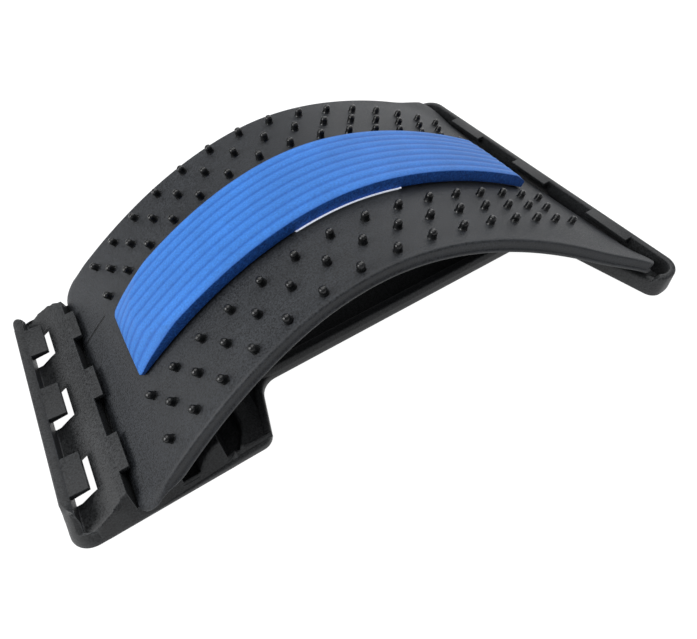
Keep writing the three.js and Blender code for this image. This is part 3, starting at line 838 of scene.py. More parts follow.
three_hooks = {"columns_count": 3, "column_pitch": hook_spacing}
outer_outline = hook_outline(outer_hook_reach, root_depth=1.7, root_rise=0.97, root_slope=0.55)
outer_hooks = rows_of(
    "outer_row_hooks", drawn_across("hook", outer_outline, hook_width / 2, edge=0.4),
    (first_root, 0, tooth_height), 1, tooth_pitch, **three_hooks)
tooth_outline = hook_outline(tooth_hook_reach, root_depth=2.0, root_rise=-0.03, root_slope=-0.3)
tooth_hooks = rows_of(
    "tooth_row_hooks", drawn_across("hook", tooth_outline, hook_width / 2, edge=0.4),
    (first_root + tooth_pitch, 0, tooth_height), 3, tooth_pitch, **three_hooks)
end_outline = [(-x, z) for x, z in hook_outline(end_hook_reach, root_depth=2.2)]
end_hooks = rows_of(
    "end_row_hooks", drawn_across("hook", end_outline, end_hook_width / 2, edge=0.5),
    (end_root, 0, end_wall_height), 1, tooth_pitch, 3, end_hook_spacing)
rib_half_width, rib_gap = 0.7, 1.4
rib_outline = [(-15.2, 1.2), (-2.6, 1.2), (-1.2, 16.8), (-3.0, 16.8), (-7.5, 15.2), (-11.8, 11.0)]
tooth_ribs = rows_of(
    "tooth_ribs", drawn_across("rib", rib_outline, rib_half_width),
    (first_root + tooth_pitch, 0, 0), 3, tooth_pitch, pair=hook_width / 2 + rib_gap,
    **three_hooks)

# %% [markdown]
# ## Knob, bridge rails and floor ribs
# The round shoulder of the ratchet end finishes in a small knob at its far end. Two rails stiffen
# the bridge between the ends. Both are sections carried along a line, so each is lofted. Nine low
# ribs cross the bridge's floor.


# %% Lofted pieces
def lofted(name, sections):
    """A closed body through equal loops of points, capped at both ends."""
    count = len(sections[0])
    loops = [range(i * count, (i + 1) * count) for i in range(len(sections))]
    faces = [tuple(reversed(loops[0])), *faces_between(loops), tuple(loops[-1])]
    piece = piece_from(name, [p for section in sections for p in section], faces)
    face_out(piece)
    return piece


knob_radius, knob_sides = 2.8, 16
knob_x = base_left + knob_radius
knob_stations = [  # y, height of the middle and radius
    (60.0, 18.0, 1.8), (63.0, 18.4, 2.5), (66.0, 18.8, 2.75), (69.0, 19.0, 2.8), (72.6, 18.9, 2.8),
    (74.6, 18.6, 2.6), (76.0, 18.4, 2.1), (76.8, 18.2, 1.2), (77.1, 18.1, 0.3),
]
knob_turns = [2 * math.pi * k / knob_sides for k in range(knob_sides)]
knob = lofted("shoulder_knob", [
    [(knob_x + radius * math.cos(a), y, z + radius * math.sin(a)) for a in knob_turns]
    for y, z, radius in knob_stations])
smooth(knob)

rail_line = fillet([  # y, height and rounding of the rail's section
    (46.95, 1.2, 0), (46.95, 6.2, 3.0), (45.2, 10.0, 1.6), (39.9, 10.0, 1.4), (38.0, 3.0, 0),
    (38.0, 1.2, 0)], 12)
rail_foot = 5.0
rail_stations = [  # x, and how much of the height over the foot is left there
    (-87, 0.05), (-84, 0.3), (-79, 0.75), (-74, 0.95), (-68, 1), (40, 1), (146, 1), (152, 0.95),
    (157, 0.7), (161, 0.3), (164, 0.05)]
rails = []
for side, name in ((-1, "bridge_rail_near"), (1, "bridge_rail_far")):
    sections = []
    for x, share in rail_stations:
        over_foot = np.maximum(0, rail_line[:, 1] - rail_foot)
        heights = rail_line[:, 1] - over_foot * (1 - share)
        sections.append([(x, side * y, z) for y, z in zip(rail_line[:, 0], heights)])
    rails.append(lofted(name, sections))
    smooth(rails[-1], 30)
floor_rib = drawn_across("rib", [(-0.8, 0.1), (0.8, 0.1), (0.8, 1.4), (-0.8, 1.4)], 40.0)
floor_ribs = rows_of("floor_ribs", floor_rib, (-62, 0, 0), 9, 25.0, 1, 0)
print("knob and rails", len(knob.data.polygons), len(rails[0].data.polygons))

# %% Ride the base
base_pieces = [plinth, base_floor, teeth, knob, outer_hooks, tooth_hooks, end_hooks, tooth_ribs,
               floor_ribs, *rails]
for piece in base_pieces:
    piece.data.materials.clear()
    piece.data.materials.append(satin_base)
    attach(piece, "base")
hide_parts("base_frame")
print("base pieces", len(base_pieces))

# %% [markdown]
# ## The arch
# Everything that is bowed is easier to draw flat. The panel, the pegs, the pad and its adhesive
# sheet are modelled on a straight strip: x is the distance along the arch from its crown, y is
# across, and z is the height over the panel's top face. One tree then bends the strip onto two
# Bezier curves that meet, level, at the crown, as a bowed spring does.

# %% Arch line
crown = np.array([0.8, 88.8])
left_foot, left_slope = np.array([-162.6, 8.7405]), math.radians(40.3)
right_foot, right_slope = np.array([189.3, 6.2823]), math.radians(36.2)
left_shares, right_shares = (0.339, 0.388), (0.283, 0.347)


def arch_handles(foot, slope, shares):
    """The two handles between the crown and a foot: level at the crown, sloping at the foot."""
    run = abs(foot[0] - crown[0])
    inward = math.copysign(1.0, crown[0] - foot[0])
    at_foot = foot + shares[0] * run * np.array([inward * math.cos(slope), math.sin(slope)])
    at_crown = crown - np.array([inward * shares[1] * run, 0])
    return at_crown, at_foot


def bezier(a, b, c, d, count=600):
    """Points on a Bezier curve, close enough together to measure lengths along it."""
    t = np.linspace(0, 1, count + 1)[:, None]
    return (1 - t) ** 3 * a + 3 * (1 - t) ** 2 * t * b + 3 * (1 - t) * t ** 2 * c + t ** 3 * d


def lengths_along(line):
    """How far along a line each of its points is."""
    return np.concatenate([[0], np.cumsum(np.linalg.norm(np.diff(line, axis=0), axis=1))])


left_crown_handle, left_foot_handle = arch_handles(left_foot, left_slope, left_shares)
right_crown_handle, right_foot_handle = arch_handles(right_foot, right_slope, right_shares)
left_line = bezier(crown, left_crown_handle, left_foot_handle, left_foot)
right_line = bezier(crown, right_crown_handle, right_foot_handle, right_foot)
left_along, right_along = lengths_along(left_line), lengths_along(right_line)
arch_start, arch_end = -left_along[-1], right_along[-1]


def x_on_arch(distance):
    """The x place of a point at a distance along the arch from the crown."""
    distance = np.asarray(distance, float)
    return np.where(distance < 0, np.interp(-distance, left_along, left_line[:, 0]),
                    np.interp(distance, right_along, right_line[:, 0]))


print("arch from", round(arch_start, 1), "to", round(arch_end, 1))

# %% Tree that bends a strip onto the arch
arch_points = {
    "Crown": crown, "Left crown handle": left_crown_handle, "Left foot handle": left_foot_handle,
    "Left foot": left_foot, "Right crown handle": right_crown_handle,
    "Right foot handle": right_foot_handle, "Right foot": right_foot}
bend_tree, given = tree_with("bend_onto_arch", {
    **{name: "Vector" for name in arch_points}, "Material": "Material",
    "Cut material": "Material"})


def one_of(tree, first_one, first, second):
    """The first of two vectors where the condition holds, and the second elsewhere."""
    return add(tree, "GeometryNodeSwitch", {"input_type": "VECTOR"}, {
        "Switch": first_one, "False": second, "True": first}).outputs["Output"]


flat_place = add(bend_tree, "GeometryNodeInputPosition").outputs["Position"]
marked = add(bend_tree, "GeometryNodeStoreNamedAttribute", {
    "data_type": "FLOAT_VECTOR", "domain": "POINT"}, {
    "Geometry": real(bend_tree, given["Geometry"]), "Name": "laid_flat", "Value": flat_place})
along, sideways, height = parts_of(bend_tree, flat_place)
away = maths(bend_tree, "ABSOLUTE", along)
on_left = add(bend_tree, "FunctionNodeCompare", {
    "data_type": "FLOAT", "operation": "LESS_THAN"}, {"A": along, "B": 0.0}).outputs["Result"]
sampled = []
for side in ("Left", "Right"):
    curve = add(bend_tree, "GeometryNodeCurvePrimitiveBezierSegment", {"mode": "POSITION"}, {
        "Resolution": 256, "Start": given["Crown"], "Start Handle": given[side + " crown handle"],
        "End Handle": given[side + " foot handle"], "End": given[side + " foot"]})
    sampled.append(add(bend_tree, "GeometryNodeSampleCurve", {"mode": "LENGTH"}, {
        "Curves": curve.outputs["Curve"], "Length": away}).outputs)
on_left_half, on_right_half = sampled
arch_place = one_of(bend_tree, on_left, on_left_half["Position"], on_right_half["Position"])
turned = scaled(bend_tree, on_left_half["Tangent"], -1.0)
heading = one_of(bend_tree, on_left, turned, on_right_half["Tangent"])
square = vectors(bend_tree, "CROSS_PRODUCT", heading, (0.0, 1.0, 0.0))
raised = scaled(bend_tree, vectors(bend_tree, "NORMALIZE", square), height)
final = vectors(bend_tree, "ADD", vectors(bend_tree, "ADD", arch_place, raised),
                vector_from(bend_tree, Y=sideways))
bent = add(bend_tree, "GeometryNodeSetPosition", None, {
    "Geometry": marked.outputs["Geometry"], "Position": final}).outputs["Geometry"]
cut_face = add(bend_tree, "GeometryNodeInputNamedAttribute", {"data_type": "BOOLEAN"}, {
    "Name": "cut_face"}).outputs["Attribute"]
skin = painted(bend_tree, bent, given["Material"])
send_out(bend_tree, painted(bend_tree, skin, given["Cut material"], Selection=cut_face))


def bend(piece, material, cut_material=None):
    """Bends a flat strip onto the arch and leaves a plain mesh."""
    places = {name: [x * MM, 0.0, z * MM] for name, (x, z) in arch_points.items()}
    use_tree(piece, bend_tree, {
        **places, "Material": material, "Cut material": cut_material or material})
    return baked(piece)


print("tree", bend_tree.name, len(bend_tree.nodes))


# %% [markdown]
# ## A skin from a grid and rings
# The panel and the pad are both slabs with a shaped edge. The top and the bottom are grids, and
# the edge is a set of rings that walk from the rim of the top grid round to the rim of the bottom
# one. The rings carry the whole edge section, so a rolled rim costs only a few more rings.


# %% Slab helper
def rim_of(rows_count, columns_count, arc):
    """The grid places round the rim, counter-clockwise, with each corner repeated for its arc."""
    last_row, last_column = rows_count - 1, columns_count - 1
    near = [(i, 0) for i in range(rows_count)]
    right = [(last_row, 0)] * arc + [(last_row, j) for j in range(1, last_column)]
    right += [(last_row, last_column)] * arc
    far = [(i, last_column) for i in reversed(range(rows_count))]
    left = [(0, last_column)] * arc + [(0, j) for j in reversed(range(1, last_column))]
    return near + right + far + left + [(0, 0)] * arc


def slab(name, top, rings, bottom, arc=0):
    """A closed mesh from two grids of points and the rings between their rims."""
    rows_count, columns_count = top.shape[:2]
    rim = [i * columns_count + j for i, j in rim_of(rows_count, columns_count, arc)]
    count = len(rim)
    points = list(top.reshape(-1, 3))
    loops = [rim]
    for ring in rings:
        loops.append(range(len(points), len(points) + count))
        points += list(ring)
    under = len(points)
    points += list(bottom.reshape(-1, 3))
    loops.append([under + k for k in rim])
    faces = []
    for i in range(rows_count - 1):
        for j in range(columns_count - 1):
            a = i * columns_count + j
            b = a + columns_count
            faces.append((a, b, b + 1, a + 1))
            faces.append((under + a, under + a + 1, under + b + 1, under + b))
    for loop, after in zip(loops, loops[1:]):
        for k in range(count):
            n = (k + 1) % count
            faces.append((loop[k], after[k], after[n], loop[n]))
    piece = piece_from(name, points, faces)
    face_out(piece)
    return piece


# %% [markdown]
# ## The springy panel
# The panel is one polypropylene moulding about 3 mm thick, finely grained on top. It is narrowest
# near the crown and flares to both ends. Its edges are lifted a millimetre and then rolled over
# into a rim 7 mm deep with a thin lip along its foot, which is the bright line under the panel in
# the photograph. The two right corners reach out beyond the row of hooks that holds that end. They
# stand free, lifted by up to 4.5 mm, and come down again towards the middle of the end.

# %% Panel outline
panel_thickness = 3.2
waist_x, waist_half = -35.0, 80.8
left_half, right_half = 94.0, 135.0
left_flare, right_flare = 1.7, 2.1
left_corner = (15.7, 12.0)
right_corner = (28.0, 34.0)
dish_height, dish_width, dish_limit = 1.0, 73.0, 1.35
corner_lift, tip_droop = 4.6, 0.3
lift_along, lift_across, droop_along = (-75, -15), (90, 124), (-22, 0)
upturn_height, upturn_left, upturn_right, upturn_across = 0.5, (6, 30), (-50, -20), (-9, -1)


def half_width(distance):
    """Half the panel's width at a distance along the arch."""
    x = x_on_arch(distance)
    left_share = np.clip((waist_x - x) / (waist_x - left_foot[0]), 0, 1)
    right_share = np.clip((x - waist_x) / (right_foot[0] - waist_x), 0, 1)
    return (waist_half + (left_half - waist_half) * left_share ** left_flare
            + (right_half - waist_half) * right_share ** right_flare)


def dish(y, s=0.0):
    """How much the panel's edges are lifted: its right corners rise more, free of the hooks."""
    from_end = np.asarray(s) - arch_end
    free = ease(*lift_along, from_end) * ease(*lift_across, np.abs(y))
    free = free * (1 - tip_droop * ease(*droop_along, from_end))
    edge = np.minimum(dish_limit, (np.asarray(y) / dish_width) ** 2)
    return dish_height * edge + corner_lift * free


def upturn(place):
    """The last few millimetres of each long edge turn up a little more, away from both ends."""
    s, y = place.T
    along_edge = ease(*upturn_left, s - arch_start) * (1 - ease(*upturn_right, s - arch_end))
    return upturn_height * along_edge * ease(*upturn_across, np.abs(y) - half_width(s))


panel_rows, panel_columns, panel_arc = 150, 40, 14
side_stations = np.linspace(arch_start + left_corner[0], arch_end - right_corner[0], panel_rows)
column_shares = np.linspace(-1, 1, panel_columns)


def panel_ring(inset):
    """The panel's flat outline moved inwards, in the order of the slab's rim."""
    def corner(s_start, s_end, width):
        """The near corner from a long side round to an end, as a quarter of an oval."""
        length = math.copysign(abs(s_end - s_start) - inset, s_end - s_start)
        depth = max(0.0, width - inset)
        wide = half_width(s_start) - inset
        turns = [math.pi / 2 * k / panel_arc for k in range(1, panel_arc + 1)]
        return [(s_start + length * math.sin(a), depth * (1 - math.cos(a)) - wide) for a in turns]

    near = [(s, -(half_width(s) - inset)) for s in side_stations]
    right_near = corner(side_stations[-1], arch_end, right_corner[1])
    left_near = corner(side_stations[0], arch_start, left_corner[1])
    right_edge, left_edge = right_near[-1], left_near[-1]
    right = [(right_edge[0], share * -right_edge[1]) for share in column_shares[1:-1]]
    left = [(left_edge[0], share * -left_edge[1]) for share in column_shares[1:-1][::-1]]
    far = [(s, -y) for s, y in reversed(near)]
    right_far = [(s, -y) for s, y in reversed(right_near)]
    left_far = [(s, -y) for s, y in left_near]
    return np.array(near + right_near + right + right_far + far + left_far + left
                    + list(reversed(left_near)))


print("panel waist", float(half_width(-36)), "right", float(half_width(arch_end)))

# %% [markdown]
# Two sections of the edge are listed below, each as inset and height: one with the rolled rim and
# one without, where the edge is only rounded. Along the outline the edge changes smoothly from one
# to the other. The rim fades out towards the left end and between the right corners, where the
# panel sits in the pockets, and it goes on round the two corners, which stand free.

# %% Panel
rim_section = [
    (9, 0), (6, 0), (3.6, 0), (2.5, -0.06), (1.8, -0.25), (1.35, -0.65), (1.15, -1.3),
    (1.05, -2.8), (1.0, -4.6), (0.7, -5.05), (0.15, -5.2), (0.0, -5.6), (0.0, -6.2), (0.2, -6.7),
    (0.7, -7.0), (1.5, -7.0), (2.4, -6.95), (2.9, -6.4), (3.05, -4.6), (3.6, -3.5), (5.0, -3.2),
    (9, -3.2)]
bare_section = [
    (9, 0), (7.0, -0.03), (5.2, -0.12), (3.8, -0.28), (2.6, -0.52), (1.6, -0.85), (0.9, -1.18),
    (0.4, -1.52), (0.12, -1.82), (0.0, -2.0), (0.0, -2.08), (0.04, -2.18), (0.15, -2.35),
    (0.35, -2.55), (0.7, -2.8), (1.2, -3.05), (1.8, -3.15), (2.4, -3.2), (3.05, -3.2), (3.6, -3.2),
    (5.0, -3.2), (9, -3.2)]
rim_depth, grid_inset = 7.0, 14
rim_left, rim_right, rim_corner = (18, 34), (-34, -8), (101, 115)
lip_reach, lip_drop = 6.4, 0.7


def end_lip(s):
    """The chamfer along the panel's left end, where the top face bends down into the pocket."""
    return -lip_drop * np.clip((arch_start + lip_reach - s) / lip_reach, 0, 1)


outline_s, outline_y = panel_ring(0).T
free_corner = ease(*rim_corner, np.abs(outline_y))
off_pockets = np.maximum(1 - ease(*rim_right, outline_s - arch_end), free_corner)
rim_share = ease(*rim_left, outline_s - arch_start) * off_pockets
panel_rings = []
for (rim_inset, rim_z), (bare_inset, bare_z) in zip(rim_section, bare_section):
    a, b = panel_ring(rim_inset), panel_ring(bare_inset)
    place = a * rim_share[:, None] + b * (1 - rim_share[:, None])
    s, y = place.T
    z = rim_z * rim_share + bare_z * (1 - rim_share)
    depth_share = 1 - np.clip(-z / panel_thickness, 0, 1)
    z = z + dish(y, s) + upturn(place) * np.clip(1 + z / rim_depth, 0, 1)
    panel_rings.append(np.column_stack([place, z + end_lip(s) * depth_share]))
top_grid = np.zeros((panel_rows, panel_columns, 3))
for i, s in enumerate(side_stations):
    y = column_shares * (half_width(s) - grid_inset)
    top_grid[i] = np.column_stack([np.full(panel_columns, s), y, dish(y, s)])
bottom_grid = top_grid - (0, 0, panel_thickness)
panel = slab("panel", top_grid, panel_rings, bottom_grid, panel_arc)
print("panel", len(panel.data.polygons))

# %% [markdown]
# ## Fine grain of the panel and gloss of the pegs
# The panel comes from the same polypropylene, but its mould has a finer, leather-like grain that
# scatters light, so it looks greyer and flatter than the base. The pegs were polished in the mould
# so that they slide on clothes: they look blacker and each shows a small highlight.

# %% Panel and peg materials
grained_panel = moulded_plastic(
    "moulded_polypropylene_fine_grain", "#222427", "#4c4e51", roughness=0.55, grain_mm=0.5,
    depth_mm=0.24, gloss=0.3, cloud=0.3)
polished_pegs = moulded_plastic(
    "moulded_polypropylene_polished", "#0b0c0d", "#242527", roughness=0.26, grain_mm=1.4,
    depth_mm=0.012, gloss=0.42, cloud=0.1)
print("materials", grained_panel.name, polished_pegs.name)


def laid_flat(tree):
    """The place on the flat strip, which the bending tree stores before it bends a piece."""
    return add(tree, "ShaderNodeAttribute", {"attribute_name": "laid_flat"}).outputs["Vector"]


# %% [markdown]
# A thin line is scored into the panel near its left end. It is as fine as a scratch, so it is
# drawn in the material only: painted shade darkens the colour along it, and a bump sinks it a
# little.

# %% Scored line
score_y, score_core, score_edge = 36.0, 0.35, 0.8
score_full, score_end, score_strength, score_depth = -157.0, -154.0, 0.8, 1.2

tree = grained_panel.node_tree
shader = tree.nodes["Principled BSDF"]
plain_colour = shader.inputs["Base Color"].links[0].from_socket
plain_normal = shader.inputs["Normal"].links[0].from_socket
flat = parts_of(tree, laid_flat(tree))
off_line = maths(tree, "ABSOLUTE", maths(tree, "SUBTRACT", flat["Y"], score_y * MM))
thin = ranged(tree, off_line, (score_core * MM, score_edge * MM), (1.0, 0.0))
near_end = ranged(tree, flat["X"], (score_full * MM, score_end * MM), (score_strength, 0.0))
score_and_painted_shade = maths(tree, "MULTIPLY", thin, near_end)
groove = add(tree, "ShaderNodeBump", {"invert": True}, {
    "Height": score_and_painted_shade, "Distance": score_depth * MM, "Strength": 1.0, "Normal": plain_normal})
# Painted shade: the colour goes almost black along the line, standing in for the shade of its small
# wall.
fill_in(tree, shader, {
    "Base Color": mixed(tree, score_and_painted_shade, plain_colour, linear("#060607")),
    "Normal": groove.outputs["Normal"]})

bend(panel, grained_panel)
smooth(panel, 60)
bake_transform(panel)
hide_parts("arch_panel_left", "arch_panel_right")
print("bent panel", len(panel.data.polygons))

# %% [markdown]
# ## Massage pegs
# The pegs stand in three rows on each side of the pad, 21.5 mm apart, with the middle row shifted
# by half a pitch. They are small domed posts with a fillet at the root. A tree lays out the rows
# on the flat strip, turns each peg by a seeded random angle so that the facets never line up, and
# the bending tree then carries them onto the arch.

# %% Peg sample
peg_profile = [  # radius and height
    (2.75, -0.6), (2.72, 0.0), (2.5, 0.35), (2.36, 0.9), (2.3, 2.6), (2.22, 3.6), (1.95, 4.35),
    (1.4, 4.85), (0.7, 5.08)]
peg_sides, peg_tip = 10, 5.15
peg_turns = [2 * math.pi * k / peg_sides for k in range(peg_sides)]
peg_points = [(radius * math.cos(a), radius * math.sin(a), height)
              for radius, height in peg_profile for a in peg_turns]
peg_loops = [range(j * peg_sides, (j + 1) * peg_sides) for j in range(len(peg_profile))]
peg_faces = faces_between(peg_loops)
tip, last_loop = len(peg_points), peg_loops[-1]
peg_points += [(0, 0, peg_tip), (0, 0, peg_profile[0][1])]
for k in range(peg_sides):
    n = (k + 1) % peg_sides
    peg_faces += [(last_loop[k], last_loop[n], tip), (n, k, tip + 1)]
peg_sample = piece_from("peg_sample", peg_points, peg_faces)
face_out(peg_sample)
print("peg faces", len(peg_sample.data.polygons))

# %% Tree for the rows of pegs
peg_tree, given = tree_with("peg_rows", {
    "Sample": "Object", "Pitch": "Float", "Centre": "Float", "Count": "Int",
    "Inner row": "Float", "Middle row": "Float", "Outer row": "Float", "Dish height": "Float",
    "Dish width": "Float", "Seed": "Int", "Material": "Material"})


def joined(tree, parts):
    """Several geometries as one, in their order."""
    join = add(tree, "GeometryNodeJoinGeometry")
    for part in parts:
        tree.links.new(part, join.inputs["Geometry"])
    return join.outputs["Geometry"]


step = vector_from(peg_tree, X=given["Pitch"])
peg_lines = []
for row, fewer in (("Inner row", 0.0), ("Middle row", 1.0), ("Outer row", 0.0)):
    number = maths(peg_tree, "SUBTRACT", given["Count"], fewer)
    lead = maths(peg_tree, "MULTIPLY_ADD", number, -0.5, 0.5)
    start_x = maths(peg_tree, "MULTIPLY_ADD", lead, given["Pitch"], given["Centre"])
    start = vector_from(peg_tree, X=start_x, Y=given[row])
    peg_lines.append(point_line(peg_tree, number, start, step))
one_side = joined(peg_tree, peg_lines)
mirrored = add(peg_tree, "GeometryNodeTransform", None, {
    "Geometry": one_side, "Scale": (1.0, -1.0, 1.0)}).outputs["Geometry"]
spot = parts_of(peg_tree, add(peg_tree, "GeometryNodeInputPosition").outputs["Position"])
share = maths(peg_tree, "DIVIDE", spot["Y"], given["Dish width"])
capped = maths(peg_tree, "MINIMUM", maths(peg_tree, "MULTIPLY", share, share), 1.0)
lift = maths(peg_tree, "MULTIPLY", capped, given["Dish height"])
on_panel = add(peg_tree, "GeometryNodeSetPosition", None, {
    "Geometry": joined(peg_tree, [one_side, mirrored]),
    "Offset": vector_from(peg_tree, Z=lift)}).outputs["Geometry"]
spin = add(peg_tree, "FunctionNodeRandomValue", {"data_type": "FLOAT"}, {
    2: 0.0, 3: 6.283, "Seed": given["Seed"]})  # sockets 2 and 3: smallest and largest angle
copies = copies_on(peg_tree, on_panel, sample_of(peg_tree, given),
                   Rotation=vector_from(peg_tree, Z=spin.outputs[1]))
send_out(peg_tree, painted(peg_tree, real(peg_tree, copies), given["Material"]))
print("tree", peg_tree.name, len(peg_tree.nodes))

# %% Pegs
peg_pitch, peg_centre, pegs_in_row = 21.5, 6.4, 15
inner_row, middle_row, outer_row = 42.8, 57.6, 72.9
pegs = object_from("massage_pegs", bpy.data.meshes.new("massage_pegs"))
use_tree(pegs, peg_tree, {
    "Sample": peg_sample, "Pitch": peg_pitch * MM, "Centre": peg_centre * MM,
    "Count": pegs_in_row, "Inner row": inner_row * MM, "Middle row": middle_row * MM,
    "Outer row": outer_row * MM, "Dish height": dish_height * MM,
    "Dish width": dish_width * MM, "Seed": 7, "Material": polished_pegs})
baked(pegs)
bpy.data.objects.remove(peg_sample)
bend(pegs, polished_pegs)
smooth(pegs, 60)
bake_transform(pegs)
print("pegs", len(pegs.data.polygons))

# %% [markdown]
# ## Foam pad
# The pad is cross-linked EVA foam, the closed-cell foam of exercise mats. It was embossed hot into
# eight lengthwise ribs, which leaves a smooth skin and presses both ends down to a thin nose, and
# then die-cut, which opens the cells along the sides. Its lower edges are undercut, so a dark gap
# shows beneath them. The eye sees a soft, even blue on top, with painted light on the crests and
# painted shade in the grooves, and a darker, speckled band along the cut sides.

# %% Pad
pad_length, pad_centre, pad_half, pad_corner = 305.0, 5.9, 27.2, 5.0
pad_low, pad_high, pad_crown = 0.9, 10.1, 0.7
pad_side_shift = -0.8
rib_count, rib_depth = 8, 0.45
pad_rows, steps_per_rib, corner_steps = 170, 8, 8
left_nose, right_nose = 42.0, 15.0
left_nose_thickness, right_nose_thickness = 0.7, 2.6
nose_middle, left_bluntness, right_bluntness = 0.45, 0.6, 0.5
top_inset, under_inset = 0.55, 3.3

cross_steps = rib_count * steps_per_rib
cross = [-1 + 2 * k / cross_steps for k in range(cross_steps + 1)]
for k in range(1, corner_steps):
    from_side = pad_corner / pad_half * (1 - math.sin(math.pi / 2 * k / corner_steps))
    cross += [1 - from_side, from_side - 1]
cross.sort()
cross = [c for i, c in enumerate(cross) if i == 0 or c - cross[i - 1] > 0.004]
cross = np.array(cross) * pad_half
pad_along = np.sin(math.pi / 2 * np.linspace(-1, 1, pad_rows))


def pad_reach(y, inset):
    """How far the pad reaches from its middle along the arch, at a place across it."""
    flat_half, radius = pad_half - pad_corner, pad_corner - inset
    in_corner = np.clip(np.abs(y) - flat_half, 0, radius)
    return pad_length / 2 - inset - radius + np.sqrt(np.maximum(0, radius ** 2 - in_corner ** 2))


def fullness(s, y):
    """How full the pad is: it thins to a nose at both ends, and the left one is blunter inside."""
    from_left = np.maximum(0, s - pad_centre + pad_length / 2)
    from_right = np.maximum(0, pad_centre + pad_length / 2 - s)
    nose = left_nose * (nose_middle + (1 - nose_middle) * np.abs(y / pad_half) ** 3)
    left = np.minimum(1, from_left / nose) ** left_bluntness
    return left * np.minimum(1, from_right / right_nose) ** right_bluntness


def pad_top(s, y):
    """Height of the ribbed top, with a slight crown, at a place along and across the pad."""
    wave = 0.5 - 0.5 * np.cos(math.pi * rib_count * (y / pad_half + 1))
    full = pad_high - pad_crown * (y / pad_half) ** 2 - rib_depth * (1 - wave)
    bare = pad_low + np.where(s < pad_centre, left_nose_thickness, right_nose_thickness)
    return bare + (full - bare) * fullness(s, y)


def pad_lines(inset):
    """The places across the pad, and how far it reaches along the arch at each of them."""
    y = cross * (pad_half - inset) / pad_half
    return y, pad_reach(y, inset)


def pad_ring(inset, share, drop=0.0):
    """The pad's outline moved inwards, at a share of the local thickness, less a drop."""
    lines_y, lines_reach = pad_lines(inset)
    i, j = np.array(rim_of(pad_rows, len(cross), 0)).T
    s, y = pad_centre + pad_along[i] * lines_reach[j], lines_y[j]
    z = pad_low + (pad_top(s, y) - pad_low) * share - drop * fullness(s, y)
    return np.column_stack([s, y + pad_side_shift, z])


def pad_grid(inset, under):
    """The grid of the top or of the flat underside, up to an inset from the outline."""
    lines_y, lines_reach = pad_lines(inset)
    s = pad_centre + pad_along[:, None] * lines_reach
    y = np.broadcast_to(lines_y, s.shape)
    z = np.full(s.shape, pad_low) if under else pad_top(s, y)
    return np.stack([s, y + pad_side_shift, z], axis=-1)


pad_rings = [pad_ring(*ring) for ring in [  # inset, share of the thickness and drop
    (0.3, 1, 0.04), (0.12, 1, 0.16), (0.03, 1, 0.38), (0.0, 1, 0.7), (0.0, 0.45), (0.05, 0.16),
    (0.25, 0.1), (0.6, 0.08), (3.0, 0.02)]]
pad = slab("foam_pad_skin", pad_grid(top_inset, False), pad_rings, pad_grid(under_inset, True))
steep_side, underside = 0.66, -0.3
marks = pad.data.attributes.new("cut_face", "BOOLEAN", "FACE")
for face in pad.data.polygons:
    is_cut = abs(face.normal.y) > steep_side or face.normal.z < underside
    marks.data[face.index].value = is_cut
print("pad", len(pad.data.polygons))


# %% Foam materials
def foam_skin(name):
    """Embossed skin of EVA foam: soft and even, a faint pebble, painted light on the crests."""
    material, tree, shader = new_material(name)
    flat = laid_flat(tree)
    pebble = noise(tree, flat, 1.1, 3.0, 0.6)
    cloud = noise(tree, flat, 22, 3.0)
    from_middle = maths(tree, "SUBTRACT", parts_of(tree, flat)["Y"], pad_side_shift * MM)
    turns = maths(tree, "MULTIPLY", from_middle, math.pi * rib_count / (2 * pad_half * MM))
    crest = maths(tree, "ABSOLUTE", maths(tree, "SINE", turns))
    # Painted light and shade: the colour is lighter on the rib crests and darker in the grooves.
    colour = mixed(tree, ranged(tree, crest, (0.0, 0.8), (0.0, 1.0)),
                   linear("#1d539d"), linear("#2d6ab5"))
    shade = ranged(tree, cloud, (0.3, 0.7), (0.92, 1.08))
    fine = ranged(tree, pebble, (0.25, 0.75), (0.78, 1.22))
    fill_in(tree, shader, {
        "Base Color": scaled(tree, colour, maths(tree, "MULTIPLY", shade, fine)),
        "Normal": bumped(tree, pebble, 0.2, 0.8), "Roughness": 0.62,
        "Specular IOR Level": 0.22, "Sheen Weight": 0.06, "Sheen Roughness": 0.5})
    return material


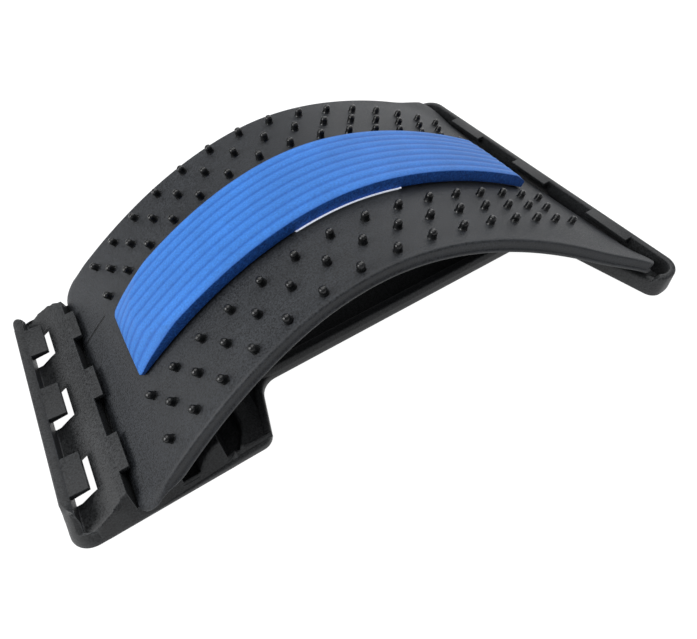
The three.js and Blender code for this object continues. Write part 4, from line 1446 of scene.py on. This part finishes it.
def foam_cut(name):
    """Cut side of EVA foam: open cells that catch light on their rims and swallow it inside."""
    material, tree, shader = new_material(name)
    flat = laid_flat(tree)
    cells = add(tree, "ShaderNodeTexVoronoi", {"feature": "F1"}, {
        "Vector": flat, "Scale": 1 / (0.9 * MM), "Randomness": 1.0}).outputs["Distance"]
    grit = noise(tree, flat, 1.6, 4.0, 0.7)
    colour = mixed(tree, cells, linear("#0a3374"), linear("#235aaa"))
    fill_in(tree, shader, {
        "Base Color": scaled(tree, colour, ranged(tree, grit, (0.3, 0.7), (0.6, 1.4))),
        "Normal": bumped(tree, cells, 0.25, 0.9), "Roughness": 0.85,
        "Specular IOR Level": 0.25})
    return material


skin_blue = foam_skin("eva_foam_embossed_skin")
cut_blue = foam_cut("eva_foam_die_cut_side")
bend(pad, skin_blue, cut_blue)
smooth(pad, 50)
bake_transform(pad)
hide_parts("foam_pad")
print("foam materials", skin_blue.name, cut_blue.name)

# %% [markdown]
# ## Adhesive sheet
# The pad is held by a double-sided adhesive sheet. Its white liner looks out as a sliver along the
# near edge of the pad, where a tab of it curls up a little. It is a thin strip on the panel, so a
# grid with a little thickness is enough.

# %% Adhesive sheet
sheet_low, sheet_high, sheet_half = 0.3, 0.8, 22.3
sheet_rows, sheet_columns = 120, 16
tab_centre, tab_half, tab_reach = 6.4, (33.5, 35.5), 7.4
curl_height, curl_run = 1.9, (-27.6, -29.3)
sheet_stations = pad_centre + np.linspace(-1, 1, sheet_rows) * (pad_length / 2 - pad_corner)
tab = 1 - ease(*tab_half, np.abs(sheet_stations - tab_centre))
near_edge = -sheet_half - tab_reach * tab
sheet_top = np.zeros((sheet_rows, sheet_columns, 3))
for i, s in enumerate(sheet_stations):
    y = near_edge[i] + (sheet_half - near_edge[i]) * np.linspace(0, 1, sheet_columns) ** 2
    curl = curl_height * tab[i] * ease(*curl_run, y)
    sheet_top[i] = np.column_stack([np.full(sheet_columns, s), y, sheet_high + curl])
sheet_bottom = sheet_top - (0, 0, sheet_high - sheet_low)
liner = slab("adhesive_liner", sheet_top, [], sheet_bottom)
glowing_liner_paper, tree, shader = new_material("adhesive_liner_glassine_paper")
fibres = noise(tree, laid_flat(tree), 1.5, 4.0)
# Painted light: the liner glows a little, so the sliver stays white where the pad shades it.
fill_in(tree, shader, {
    "Base Color": mixed(tree, fibres, linear("#dfe6f5"), linear("#f6f8fc")), "Roughness": 0.4,
    "Emission Color": linear("#eef3ff"), "Emission Strength": 0.35})
bend(liner, glowing_liner_paper)
smooth(liner)
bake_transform(liner)
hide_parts("adhesive_sheet")
print("liner", len(liner.data.polygons))
